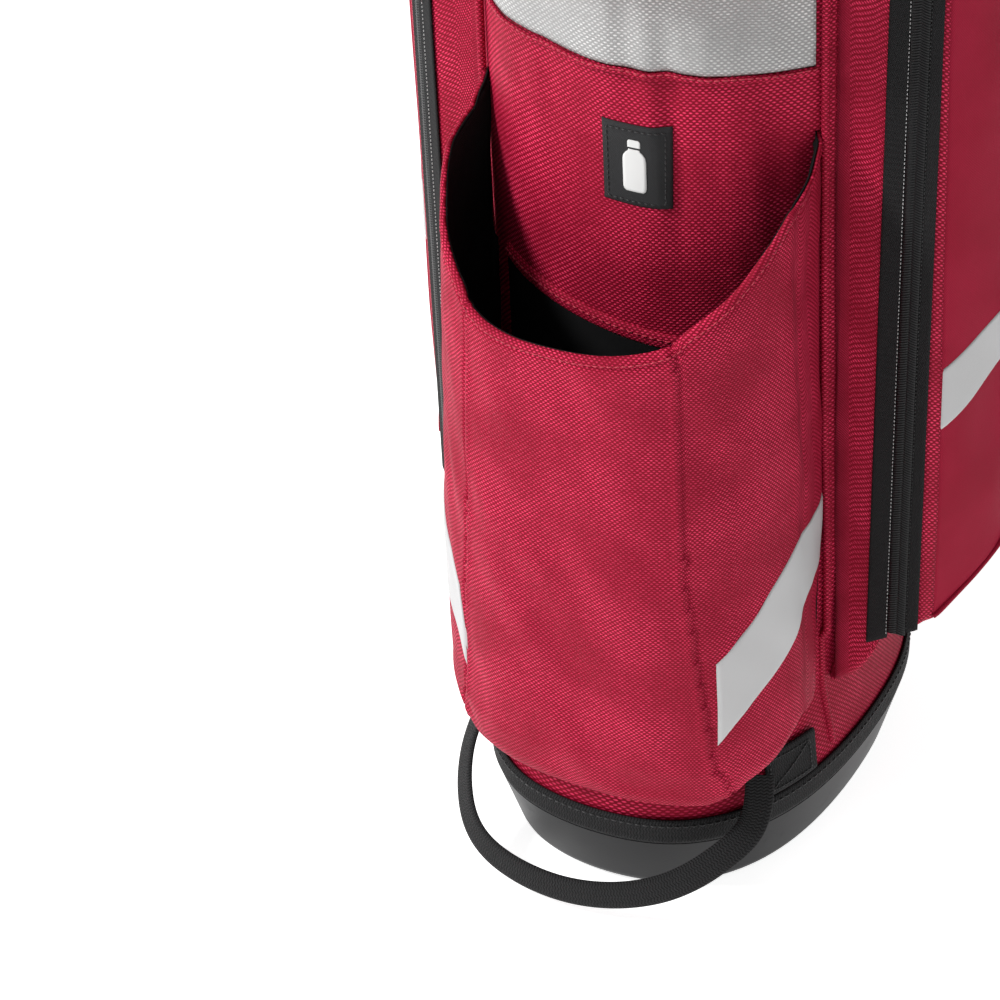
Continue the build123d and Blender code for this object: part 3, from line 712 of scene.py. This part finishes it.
def pocket_back():
    """Black cloth on the wall inside the bottle pocket, under the hem of the crimson panel."""
    low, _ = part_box("bottle_pocket")
    angles = np.radians(np.linspace(-138, -42, 70))
    top = 0.2995 - 0.010 * np.cos(angles + 0.35)
    share = np.linspace(0, 1, 60)[:, None]
    levels = (low.z + 0.03) * (1 - share) + top * share
    grid = over("body_cloth", AXIS, angles, levels, 0.9 * MM)
    sheet_piece("pocket_back_lining", grid, "lining", 0.5 * MM)
    share = np.linspace(0, 1, 9)[:, None]
    levels = top - 2.5 * MM + share * 8 * MM
    hem = over("body_cloth", AXIS, angles, levels, 1.7 * MM)
    hem = raised(hem, -1.0 * MM * abs(2 * share - 0.9) ** 3)
    sheet_piece("front_panel_hem", hem, "crimson_fine", 1.3 * MM)
    stitches("front_hem_stitches", [row_line(hem, 5)], "red_thread")


def side_cast(name, y, z, sign):
    return cast(name, (sign * 0.4, y, z), (-sign, 0, 0))


def side_band(name, node, cloth, sign, start=0.3 * MM):
    """Stripe lying on a cloth, with the outline that a CAD stripe has from the side."""
    low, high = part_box(node)
    steps, rows = 46, 26
    away = (0, 0.02, (low.z + high.z) / 2)
    stops = np.linspace(low.y + start, high.y - 0.3 * MM, steps)
    edges = []
    for y in stops:
        hits = [z for z in np.arange(low.z, high.z, 0.5 * MM) if side_cast(node, y, z, sign)]
        edges.append((hits[0], hits[-1]))
    edges = np.array(edges)
    for _ in range(3):
        edges[1:-1] = 0.5 * edges[1:-1] + 0.25 * (edges[:-2] + edges[2:])
    grid = np.zeros((rows, steps, 3))
    for k, y in enumerate(stops):
        for j, z in enumerate(np.linspace(*edges[k], rows)):
            p = side_cast(cloth, y, z, sign)
            grid[j, k] = p if p else grid[j, k - 1]
    n = facing(grid, False, away)
    grid = grid + n * (0.45 * MM)
    grid = grid - n * (0.35 * MM * bell(rim(grid, sides=False), 0.5 * MM))[..., None]
    sheet_piece(name, grid, "stripe", 0.8 * MM, node, away=away)


def rounded_outline(width, height, radius, steps=5):
    points = []
    for cx, cy, start in ((1, -1, -90), (1, 1, 0), (-1, 1, 90), (-1, -1, 180)):
        for k in range(steps + 1):
            a = math.radians(start + 90 * k / steps)
            points.append((cx * (width / 2 - radius) + radius * math.cos(a),
                           cy * (height / 2 - radius) + radius * math.sin(a)))
    return points


def badge():
    """Stitched black badge with a plain bottle mark."""
    low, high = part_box("bottle_patch")
    mid = (low + high) / 2
    width, height = high.x - low.x - 4.0 * MM, high.z - low.z
    mid.x += 1.0 * MM

    def on_panel(x, z, lift):
        p = cast("body_cloth", (mid.x + x, -0.5, mid.z + z), (0, 1, 0))
        out = Vector((p.x, p.y - AXIS[1], 0)).normalized()
        return np.array(p + out * lift)

    grid = np.array([[on_panel(x, z, 1.3 * MM) for x in np.linspace(-width / 2, width / 2, 30)]
                     for z in np.linspace(-height / 2, height / 2, 36)])
    u, v = distances(grid)
    edge = np.minimum.reduce([u - u.min(), u.max() - u, v, v.max() - v])
    grid = raised(grid, -0.8 * MM * bell(edge, 1.0 * MM))
    sheet_piece("badge_cloth", grid, "patch", 1.1 * MM, "bottle_patch")
    ring = rounded_outline(width - 5.5 * MM, height - 5.5 * MM, 1.0 * MM)
    ring.append(ring[0])
    dense = []
    for a, b in zip(ring, ring[1:]):
        count = max(2, int(math.dist(a, b) / MM))
        dense += [(a[0] + (b[0] - a[0]) * k / count, a[1] + (b[1] - a[1]) * k / count)
                  for k in range(count)]
    points = np.array([on_panel(x, z, 1.45 * MM) for x, z in dense])
    ups = (points - (0, AXIS[1], 0)) * (1, 1, 0)
    ups /= np.hypot(ups[:, 0], ups[:, 1])[:, None]
    stitches("badge_stitches", [(points, ups)], "black_thread", 3.0, 2.2, 0.32, "black_lining")
    # bottle: rounded body, shoulder, neck and cap, from half its outline
    half = [(0.0, -12.5), (4.6, -12.5), (5.9, -11.6), (6.3, -10.2), (6.3, 3.2), (5.9, 5.2),
            (4.6, 6.8), (3.2, 7.8), (3.0, 8.6), (0.0, 8.6)]
    cap = [(0.0, 9.6), (3.4, 9.6), (3.4, 12.4), (2.6, 13.2), (0.0, 13.2)]
    for name, outline in (("badge_bottle", half), ("badge_bottle_cap", cap)):
        outline = [(x * 0.86 * MM, z * 1.04 * MM) for x, z in outline]
        strips = []
        for z in np.linspace(outline[0][1], outline[-1][1], 26):
            xs = [a[0] + (b[0] - a[0]) * (z - a[1]) / (b[1] - a[1])
                  for a, b in zip(outline, outline[1:]) if b[1] > a[1] and a[1] <= z <= b[1]]
            wide = max(xs + [outline[1][0] if z == outline[0][1] else 0.2 * MM])
            strips.append([on_panel(s * wide, z, 1.62 * MM) for s in np.linspace(-1, 1, 9)])
        sheet_piece(name, np.array(strips), "ink", 0.25 * MM)


# ---- side pockets
SIDE_CORE = (0.068, 0.026, 0.35)


def returned(grid, base, steps=5):
    """Adds rows below and above a grid that turn in towards the body."""
    extra = []
    share = np.linspace(0, 1, steps + 1)[1:, None, None]
    for row, way in ((grid[0], -1), (grid[-1], 1)):
        ends = []
        for p in row:
            inward = Vector((AXIS[0] - p[0], AXIS[1] - p[1], 0)).normalized()
            hit = cast(base, Vector(p) - inward * 0.2, inward)
            ends.append(np.array(hit) if hit else p)
        rows = row * (1 - share) + np.array(ends) * share
        rows[..., 2] += way * 2.2 * MM * np.sin(share[..., 0] * math.pi)
        extra.append(rows)
    return np.concatenate([extra[0][::-1], grid, extra[1]])


def side_pockets():
    for side, sign in SIDES:
        core = (sign * SIDE_CORE[0], *SIDE_CORE[1:])
        start, end = (-100, 105) if sign > 0 else (280, 75)
        grid = smooth(skin(f"side_pocket_{side}", core, start, end, 2.2, 2.6), 2)
        u, v = distances(grid)
        corner = np.argmax(sign * 0.80 * grid[..., 0] - 0.60 * grid[..., 1], axis=1)
        past = u - u[np.arange(len(u)), corner][:, None]
        loose = np.clip((past - 12 * MM) / (30 * MM), 0, 1)
        under = np.clip((past + 29 * MM) / (3 * MM), 0, 1) * np.clip(1 - past / (3 * MM), 0, 1)
        creases = lattice(u * 0.8 + v * 0.6, v * 0.8 - u * 0.6, 22, 90, 30 + sign) * 1.6
        creases += lattice(u + v * 0.4, v - u, 45, 70, 40 + sign) * 1.8
        calm = lattice(u, v, 30, 80, 50 + sign) * 0.5
        lift = creases * loose + calm * (1 - loose) * (1 - under) - 0.3 * under
        grid = returned(raised(grid, lift * MM, core), "body_cloth")
        split = int(np.median(corner))
        gusset, outer = grid[:, :split + 1], grid[:, split:]
        sheet_piece(f"side_gusset_cloth_{side}", gusset, "crimson", 1.4 * MM,
                    f"side_pocket_{side}", away=core)
        sheet_piece(f"side_pocket_cloth_{side}", outer, "crimson_twill", 1.4 * MM, away=core)
        # piping along the lower edge of the outer cloth
        n = facing(outer, False, core)
        tube_piece(f"side_edge_piping_{side}", outer[6] + n[6] * 0.4 * MM, 1.3 * MM,
                   "crimson_twill")
        side_band(f"side_stripe_cloth_{side}", f"side_stripe_{side}", f"side_pocket_cloth_{side}",
                  sign)


def zip_frame(node):
    """Across and outward directions of a zip, its tape edges, coil and crest at the foot, its
    lean per metre of height along both directions, and its heights."""
    co = vectors(NODES[node].data, "co")
    z0, z1 = co[:, 2].min(), co[:, 2].max()
    turns = np.radians(np.arange(-90, 90, 0.25))
    foot = co[co[:, 2] < z0 + MM, :2]
    spread = np.ptp(foot @ np.stack([np.sin(turns), -np.cos(turns)]), axis=0)
    turn = turns[spread.argmin()]
    across = np.array([math.cos(turn), math.sin(turn)])
    out = np.array([across[1], -across[0]])
    ends = []
    for z in (z0, z1):
        flat = co[abs(co[:, 2] - z) < MM, :2]
        s, d = flat @ across, flat @ out
        ends.append((s.min(), s.max(), s[d > d.max() - 0.4 * MM].mean(), d.max()))
    (s0, s1, crest, top), (s2, _, _, above) = ends
    lean = (s2 - s0) / (z1 - z0), (above - top) / (z1 - z0)
    return across, out, (s0, s1), crest, top, lean, z0, z1


def zip_strip(node, tail=0.0):
    """Zip: two woven tapes with rolled edges, the back of a coil and a row of stitches on both
    sides of it.  The foot is cut on a slant that reaches tail lower on the seam's side."""
    across, out, (s0, s1), crest, top, lean, z0, z1 = zip_frame(node)
    back, coil, tape, overlap = top - 1.95 * MM, 4.5 * MM, 1.1 * MM, 0.3 * MM

    def at(s, d, z):
        flat = across * (s + lean[0] * (z - z0)) + out * (d + lean[1] * (z - z0))
        return np.array([*flat, z])

    seam = s0 if across[0] * crest + out[0] * top > 0 else s1

    def foot(s):
        return z0 - tail * abs(s - (s0 + s1 - seam)) / (s1 - s0)

    for part, a, b in (("a", s0, crest - coil + overlap), ("b", crest + coil - overlap, s1)):
        rows = []
        for share in np.linspace(0, 1, 180):
            line = []
            for s in np.linspace(a, b, 12):
                z = foot(s) * (1 - share) + z1 * share
                lift = tape - 0.5 * MM * math.exp(-(min(s - a, b - s) / (0.6 * MM)) ** 2)
                line.append(at(s, back + lift, z))
            rows.append(line)
        sheet_piece(f"{node}_tape_{part}", np.array(rows), "tape", 0.9 * MM)
    pitch, steps = 1.35 * MM, 6
    levels = np.arange(foot(crest) + MM, z1 - MM, pitch / steps)
    grid = np.zeros((len(levels), 21, 3))
    for k, w in enumerate(np.linspace(-1, 1, 21)):
        crown = 1 - 0.7 * abs(w) ** 5 - 0.42 * math.exp(-(w / 0.12) ** 2)
        for j, z in enumerate(levels):
            turn = 0.5 + 0.5 * math.cos(2 * math.pi * (z / pitch + 1.1 * abs(w)))
            depth = 0.7 * MM + 1.1 * MM * crown * (0.62 + 0.38 * turn)
            grid[j, k] = at(crest + w * coil, back + depth, z)
    sheet_piece(f"{node}_coil", grid, "coil", 0.5 * MM, node)
    looks = ["grey_thread", "black_thread"]
    if node == "side_zip_left":
        looks.reverse()
    for tag, way, look in (("inner", -1, looks[0]), ("outer", 1, looks[1])):
        s = crest + way * (coil + 0.25 * MM)
        points = np.array([at(s, back + tape, z) for z in np.arange(foot(s) + 2 * MM, z1, 20 * MM)])
        ups = np.tile([*out, 0.0], (len(points), 1))
        stitches(f"{node}_stitches_{tag}", [(points, ups)], look, 2.1, 1.2, 0.22, "zip_tape")


# ---- base
def tape_band(node, name, centre, away, steps, thick, rows):
    """Woven tape all the way round, with rounded edges; rows are the ones that are stitched."""
    grid = skin(node, centre, -180, 180, *steps, closed=True)
    v = distances(grid)[1]
    grid = raised(grid, -0.9 * MM * bell(np.minimum(v, v.max() - v), 1.2 * MM), away, True)
    sheet_piece(name, grid, "webbing", thick, node, True, away)
    ring = np.concatenate([grid, grid[:, :1]], 1)
    lines = [row_line(ring, j % len(grid), away, 0.15 * MM) for j in rows]
    stitches(f"{name.rpartition('_')[0]}_stitches", lines, "black_thread", 3.8, 2.8, 0.36)


def strap_piece(name, node, points, across, width, thick, body="bag"):
    """Flat webbing along points, with rounded edges; across is its width's direction at first."""
    points = np.array(points) * MM
    knots = np.linspace(0, 1, len(points))
    fine = np.linspace(0, 1, 30 * (len(points) - 1))
    path = np.stack([cubic(knots, points[:, i], fine) for i in range(3)], 1)
    t = np.gradient(path, axis=0)
    t /= np.linalg.norm(t, axis=1, keepdims=True)
    w = np.array(across, float)
    profile = [(math.copysign(abs(math.cos(a)) ** 0.35, math.cos(a)) * width / 2,
                math.sin(a) * thick / 2) for a in np.linspace(0, 2 * math.pi, 28, endpoint=False)]
    verts = []
    for p, d in zip(path, t):
        w = w - d * (w @ d)
        w /= np.linalg.norm(w)
        out = np.cross(d, w)
        verts += [p + w * a + out * b for a, b in profile]
    cloth = [(s, a, 0) for s in run_along(path) for a, _ in profile]
    return mesh_piece(name, verts, tube_faces(len(path), len(profile)), "webbing", node, cloth, body)


def cubic(x, y, at):
    """Natural cubic spline through (x, y), read at the points at."""
    n = len(x)
    h = np.diff(x)
    a = np.zeros((n, n))
    b = np.zeros(n)
    a[0, 0] = a[-1, -1] = 1
    for i in range(1, n - 1):
        a[i, i - 1:i + 2] = h[i - 1], 2 * (h[i - 1] + h[i]), h[i]
        b[i] = 6 * ((y[i + 1] - y[i]) / h[i] - (y[i] - y[i - 1]) / h[i - 1])
    m = np.linalg.solve(a, b)
    k = np.clip(np.searchsorted(x, at) - 1, 0, n - 2)
    d, hk = at - x[k], h[k]
    slope = (y[k + 1] - y[k]) / hk - hk * (2 * m[k] + m[k + 1]) / 6
    return y[k] + slope * d + m[k] / 2 * d ** 2 + (m[k + 1] - m[k]) / (6 * hk) * d ** 3


LOOP_ROUTE = [(71.5, -80.5, 67.0), (75.0, -95.0, 50.0), (66.0, -112.0, 38.0), (42.0, -128.0, 22.0),
              (0.0, -138.0, 13.0), (-44.0, -133.0, 16.0), (-66.0, -118.0, 29.0),
              (-75.0, -97.0, 46.0), (-71.5, -80.5, 67.0)]


def carrying_loop():
    strap_piece("base_loop_webbing", "base_loop", LOOP_ROUTE, (-0.7, -0.5, 0.5), 15 * MM, 2.6 * MM,
                "loop")
    for side, start in (("right", -80), ("left", -175)):
        node = f"loop_anchor_{side}"
        grid = skin(node, AXIS, start, start + 75, 1.0, 1.0)
        grid = raised(grid, -0.9 * MM * bell(rim(grid), 0.9 * MM))
        sheet_piece(f"loop_anchor_webbing_{side}", grid, "webbing", 1.6 * MM, node)
        # stitched round all four sides and across one diagonal
        r, c = grid.shape[0] - 1, grid.shape[1] - 1
        j0, j1, k0, k1 = int(r * 0.14), int(r * 0.86), int(c * 0.12), int(c * 0.88)
        n = facing(grid, False, CORE)
        path = [(j0, k0), (j0, k1), (j1, k1), (j1, k0), (j0, k0), (j1, k1)]
        lines = []
        for a, b in zip(path, path[1:]):
            js, ks = np.linspace(a, b, 40).round().astype(int).T
            lines.append((grid[js, ks] + n[js, ks] * 0.2 * MM, n[js, ks]))
        stitches(f"loop_anchor_stitches_{side}", lines, "black_thread", 2.6, 2.0, 0.3)


# ---- ball pocket
def ball_pocket():
    core = (0.0, -0.040, 0.6)
    grid = smooth(skin("ball_pocket", core, -190, 10, 2.4, 2.6), 3)
    u, v = distances(grid)
    puff = 1.5 * np.sin(np.clip(v / v.max(0), 0, 1) * math.pi)
    away_from_zip = 1 - bell(grid[..., 0], 14 * MM)
    soft = lattice(u, v, 30, 40, 61) * 1.2 + lattice(u + v, v - u, 14, 30, 62) * 0.5
    grid = raised(grid, (puff * 0.4 + soft) * away_from_zip * MM, core)
    grid = returned(grid, "front_panel_cloth")
    sheet_piece("ball_pocket_cloth", grid, "crimson", 1.4 * MM, "ball_pocket", away=core)
    n = facing(grid, False, core)
    for tag, j in (("low", 7), ("high", len(grid) - 8)):
        tube_piece(f"ball_pocket_piping_{tag}", grid[j] + n[j] * 0.5 * MM, 1.4 * MM,
                   "crimson_fine")


# ---- top, pads and straps
def well_sheets():
    """Dividers of thin cloth hanging from the bars of the cuff."""
    for k, node in enumerate(("well_sheet_cross", "well_sheet_front", "well_sheet_rear")):
        low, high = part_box(node)
        size = high - low
        flat = 0 if size.x > size.y else 1
        rows, cols = 120, 40
        grid = np.zeros((rows, cols, 3))
        for j, z in enumerate(np.linspace(low.z + MM, high.z - MM, rows)):
            start = Vector(((low.x + high.x) / 2, (low.y + high.y) / 2, z))
            ends = []
            for way in (-1, 1):
                far = start.copy()
                far[flat] = (low if way < 0 else high)[flat] + way * 0.05
                towards = Vector((0, 0, 0))
                towards[flat] = -way
                ends.append(cast(node, far, towards)[flat] - way * 0.3 * MM)
            line = np.linspace(*ends, cols)
            grid[j, :, flat] = line
            ripple = lattice(line, 0 * line + z, 26, 150, 70 + k) * 0.45 * MM
            grid[j, :, 1 - flat] = start[1 - flat] + ripple
            grid[j, :, 2] = z
        piece = sheet_piece(f"{node}_cloth", grid, "lining", 0.5 * MM, node, away=(-1, -1, 0),
                            offset=0.25 * MM)


def copy_of(node, name):
    """New piece with a CAD node's mesh."""
    piece = bpy.data.objects.new(name, NODES[node].data.copy())
    bpy.context.scene.collection.objects.link(piece)
    piece.data.materials.clear()
    return piece


def vectors(mesh, what):
    return np.array([getattr(v, what) for v in mesh.vertices])


def puffed(node, cap, shrink):
    """Stuffed pad: a closed form of the CAD pad's size, blown up by the cloth solver."""
    piece = copy_of(node, f"{node}_cushion")
    weld = piece.modifiers.new("weld", "WELD")
    weld.merge_threshold = 0.05 * MM
    remesh = piece.modifiers.new("remesh", "REMESH")
    remesh.mode, remesh.voxel_size = "VOXEL", 4 * MM
    relax = piece.modifiers.new("relax", "SMOOTH")
    relax.iterations, relax.factor = 4, 0.5
    settle(piece)
    mesh = piece.data
    rest = vectors(mesh, "co") - vectors(mesh, "normal") * shrink
    mesh.vertices.foreach_set("co", rest.astype(np.float32).ravel())
    mesh.update()
    cloth = piece.modifiers.new("cloth", "CLOTH")
    how = cloth.settings
    how.quality, how.mass = 5, 0.3
    how.tension_stiffness = how.compression_stiffness = 25
    how.use_pressure, how.uniform_pressure_force = True, 4.0
    how.effector_weights.gravity = 0
    cloth.collision_settings.use_collision = False
    for f in range(1, 16):
        bpy.context.scene.frame_set(f)
    settle(piece)
    moved = vectors(piece.data, "co") - rest
    far = np.linalg.norm(moved, axis=1, keepdims=True)
    moved *= np.minimum(1, cap / np.maximum(far, 1e-9))
    piece.data.vertices.foreach_set("co", (rest + moved).astype(np.float32).ravel())
    bpy.context.scene.frame_set(1)
    subdivide = piece.modifiers.new("round", "SUBSURF")
    subdivide.levels = subdivide.render_levels = 1
    settle(piece)
    piece.data.polygons.foreach_set("use_smooth", [True] * len(piece.data.polygons))
    return piece


def settle(piece):
    """Applies a piece's modifiers."""
    depsgraph = bpy.context.evaluated_depsgraph_get()
    mesh = bpy.data.meshes.new_from_object(piece.evaluated_get(depsgraph))
    piece.modifiers.clear()
    piece.data = mesh


def channels(piece, node, spacing, depth):
    """Presses sewn channels into a finished pad, none within 20 mm of its top and bottom."""
    mesh = piece.data
    co, normal = vectors(mesh, "co"), vectors(mesh, "normal")
    low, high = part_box(node)
    z = co[:, 2] - (low.z + high.z) / 2
    groove = np.zeros(len(co))
    for line in np.arange(-4, 5) * spacing:
        groove += bell(z - line, 2.0 * MM) * (abs(line) < (high.z - low.z) / 2 - 20 * MM)
    co -= normal * (groove * depth)[:, None]
    mesh.vertices.foreach_set("co", co.astype(np.float32).ravel())
    mesh.update()


def pads():
    for node, cap, shrink, spacing, depth, fill in (
            ("hip_pad", 3.5, 1.0, 38, 1.8, 0.6), ("shoulder_pad_right", 4, 0.8, 46, 1.6, 0.7),
            ("shoulder_pad_left", 4, 0.8, 46, 1.6, 0.7)):
        pad = puffed(node, cap * MM, shrink * MM)
        channels(pad, node, spacing * MM, depth * MM)
        pad.data.materials.append(M["mesh"])
        register(pad, "padding", node)


UPPER_ROUTE = [(62.0, 108.2, 812.0), (63.0, 111.0, 790.0), (65.6, 117.4, 762.0),
               (66.8, 121.5, 748.0)]
LOWER_ROUTE = [(76.1, 127.0, 484.0), (75.8, 122.6, 467.0), (68.0, 115.0, 430.0), (60.0, 108.0, 394.0),
               (58.0, 105.0, 362.0)]


def straps():
    for side, sign in SIDES:
        for part, route in (("upper", UPPER_ROUTE), ("lower", LOWER_ROUTE)):
            strap_piece(f"strap_webbing_{part}_{side}", f"strap_web_{part}_{side}",
                        [(sign * x, y, z) for x, y, z in route], (sign * 0.82, -0.57, 0), 25 * MM,
                        2.0 * MM)


def towel_tab():
    """Folded webbing tab: the CAD tab's outline with its long edges rounded."""
    piece = copy_of("towel_tab", "towel_tab_webbing")
    soft = piece.modifiers.new("soft", "BEVEL")
    soft.width, soft.segments, soft.limit_method = 0.9 * MM, 3, "ANGLE"
    settle(piece)
    co = vectors(piece.data, "co")
    threads(piece.data, np.stack([co[:, 2], co[:, 0] * 1.2, 0 * co[:, 0]], 1))
    piece.data.materials.append(M["webbing"])
    register(piece, "black_webbing", "towel_tab")


# ---- CAD nodes that keep their shape
def dress_nodes():
    looks = {
        "boot": ["base_boot", "actuator_foot"],
        "plastic": ["top_cuff", "cuff_dividers", "front_handle", "stand_bracket", "wire_guide",
                    "leg_knuckle_left", "leg_knuckle_right"],
        "tube": ["leg_left", "leg_right"],
        "rubber": ["leg_shoe_left", "leg_shoe_right"],
        "steel": ["actuator_wire", "actuator_foot_pin", "leg_pin_left", "leg_pin_right",
                  "towel_ring"],
        "slider": ["side_zip_slider_left", "side_zip_slider_right", "ball_zip_slider",
                   "side_zip_pull_left", "side_zip_pull_right", "ball_zip_pull"],
    }
    for look, names in looks.items():
        for name in names:
            NODES[name].data.materials.clear()
            NODES[name].data.materials.append(M[look])


# ---- studio
def from_side(azimuth, elevation):
    """Direction towards a viewer, turned from the front to the bag's right, and up."""
    return Vector((math.sin(azimuth) * math.cos(elevation),
                   -math.cos(azimuth) * math.cos(elevation), math.sin(elevation)))


def studio():
    scene = bpy.context.scene
    scene.view_settings.view_transform = "Standard"
    floor_mesh = bpy.data.meshes.new("studio_floor")
    corners = [(-6, -6, 0), (6, -6, 0), (6, 6, 0), (-6, 6, 0)]
    floor_mesh.from_pydata(corners, [], [(0, 1, 2, 3)])
    g = Graph("studio_floor")
    floor_mesh.materials.append(g.finish((0.9, 0.9, 0.9), 0.9, Specular_IOR_Level=0.05,
                                         Emission_Color=(1, 1, 1), Emission_Strength=0.85))
    floor = bpy.data.objects.new("studio_floor", floor_mesh)
    scene.collection.objects.link(floor)

    world = bpy.data.worlds.new("studio")
    world.use_nodes = True
    world.node_tree.nodes["Background"].inputs[0].default_value = (1, 1, 1, 1)
    world.node_tree.nodes["Background"].inputs[1].default_value = 0.26
    scene.world = world

    def lamp(name, azimuth, elevation, distance, size, power, aim=(0, 0, 0.3)):
        light = bpy.data.lights.new(name, "AREA")
        light.shape, light.size, light.energy = "DISK", size, power
        lamp_object = bpy.data.objects.new(name, light)
        way = from_side(math.radians(azimuth), math.radians(elevation))
        lamp_object.location = Vector(aim) + way * distance
        lamp_object.rotation_euler = way.to_track_quat("Z", "Y").to_euler()
        scene.collection.objects.link(lamp_object)

    lamp("key", -50, 40, 2.4, 0.6, 55)
    lamp("fill", 80, 35, 3.0, 2.0, 3)
    lamp("top", 10, 80, 2.6, 1.6, 8)

    # long lens, turned down on the lower front of the bag from its right
    azimuth, elevation, roll = math.radians(30.5), math.radians(37.1), math.radians(-2.7)
    target, distance = Vector((-0.122, 0.022, 0.093)), 2.595
    back = from_side(azimuth, elevation)
    right = Vector((math.cos(azimuth), math.sin(azimuth), 0))
    up = back.cross(right)
    right, up = (right * math.cos(roll) + up * math.sin(roll),
                 up * math.cos(roll) - right * math.sin(roll))
    lens = bpy.data.cameras.new("camera")
    lens.sensor_width, lens.lens = 36.0, 190.7
    lens.clip_end = 50
    camera = bpy.data.objects.new("camera", lens)
    camera.matrix_world = Matrix((
        (right.x, up.x, back.x, 0), (right.y, up.y, back.y, 0), (right.z, up.z, back.z, 0),
        (0, 0, 0, 1)))
    camera.location = target + back * distance
    scene.collection.objects.link(camera)
    scene.camera = camera


body()
front_panel()
piping()
bottle_pocket()
pocket_back()
for side, sign in SIDES:
    side_band(f"gusset_stripe_cloth_{side}", f"gusset_stripe_{side}", "bottle_pocket_cloth", sign,
              3.6 * MM)
badge()
side_pockets()
zip_strip("side_zip_right", 14 * MM)
zip_strip("side_zip_left", 14 * MM)
tape_band("base_binding_tape", "base_tape_cloth", (0, 0), (0, 0, 0.04), (2.0, 1.0), 1.2 * MM, [-4])
carrying_loop()
ball_pocket()
zip_strip("ball_zip")
tape_band("cuff_trim", "cuff_band_webbing", AXIS, CORE, (2.5, 1.6), 1.3 * MM, [3, -4])
well_sheets()
pads()
straps()
towel_tab()
dress_nodes()
studio()
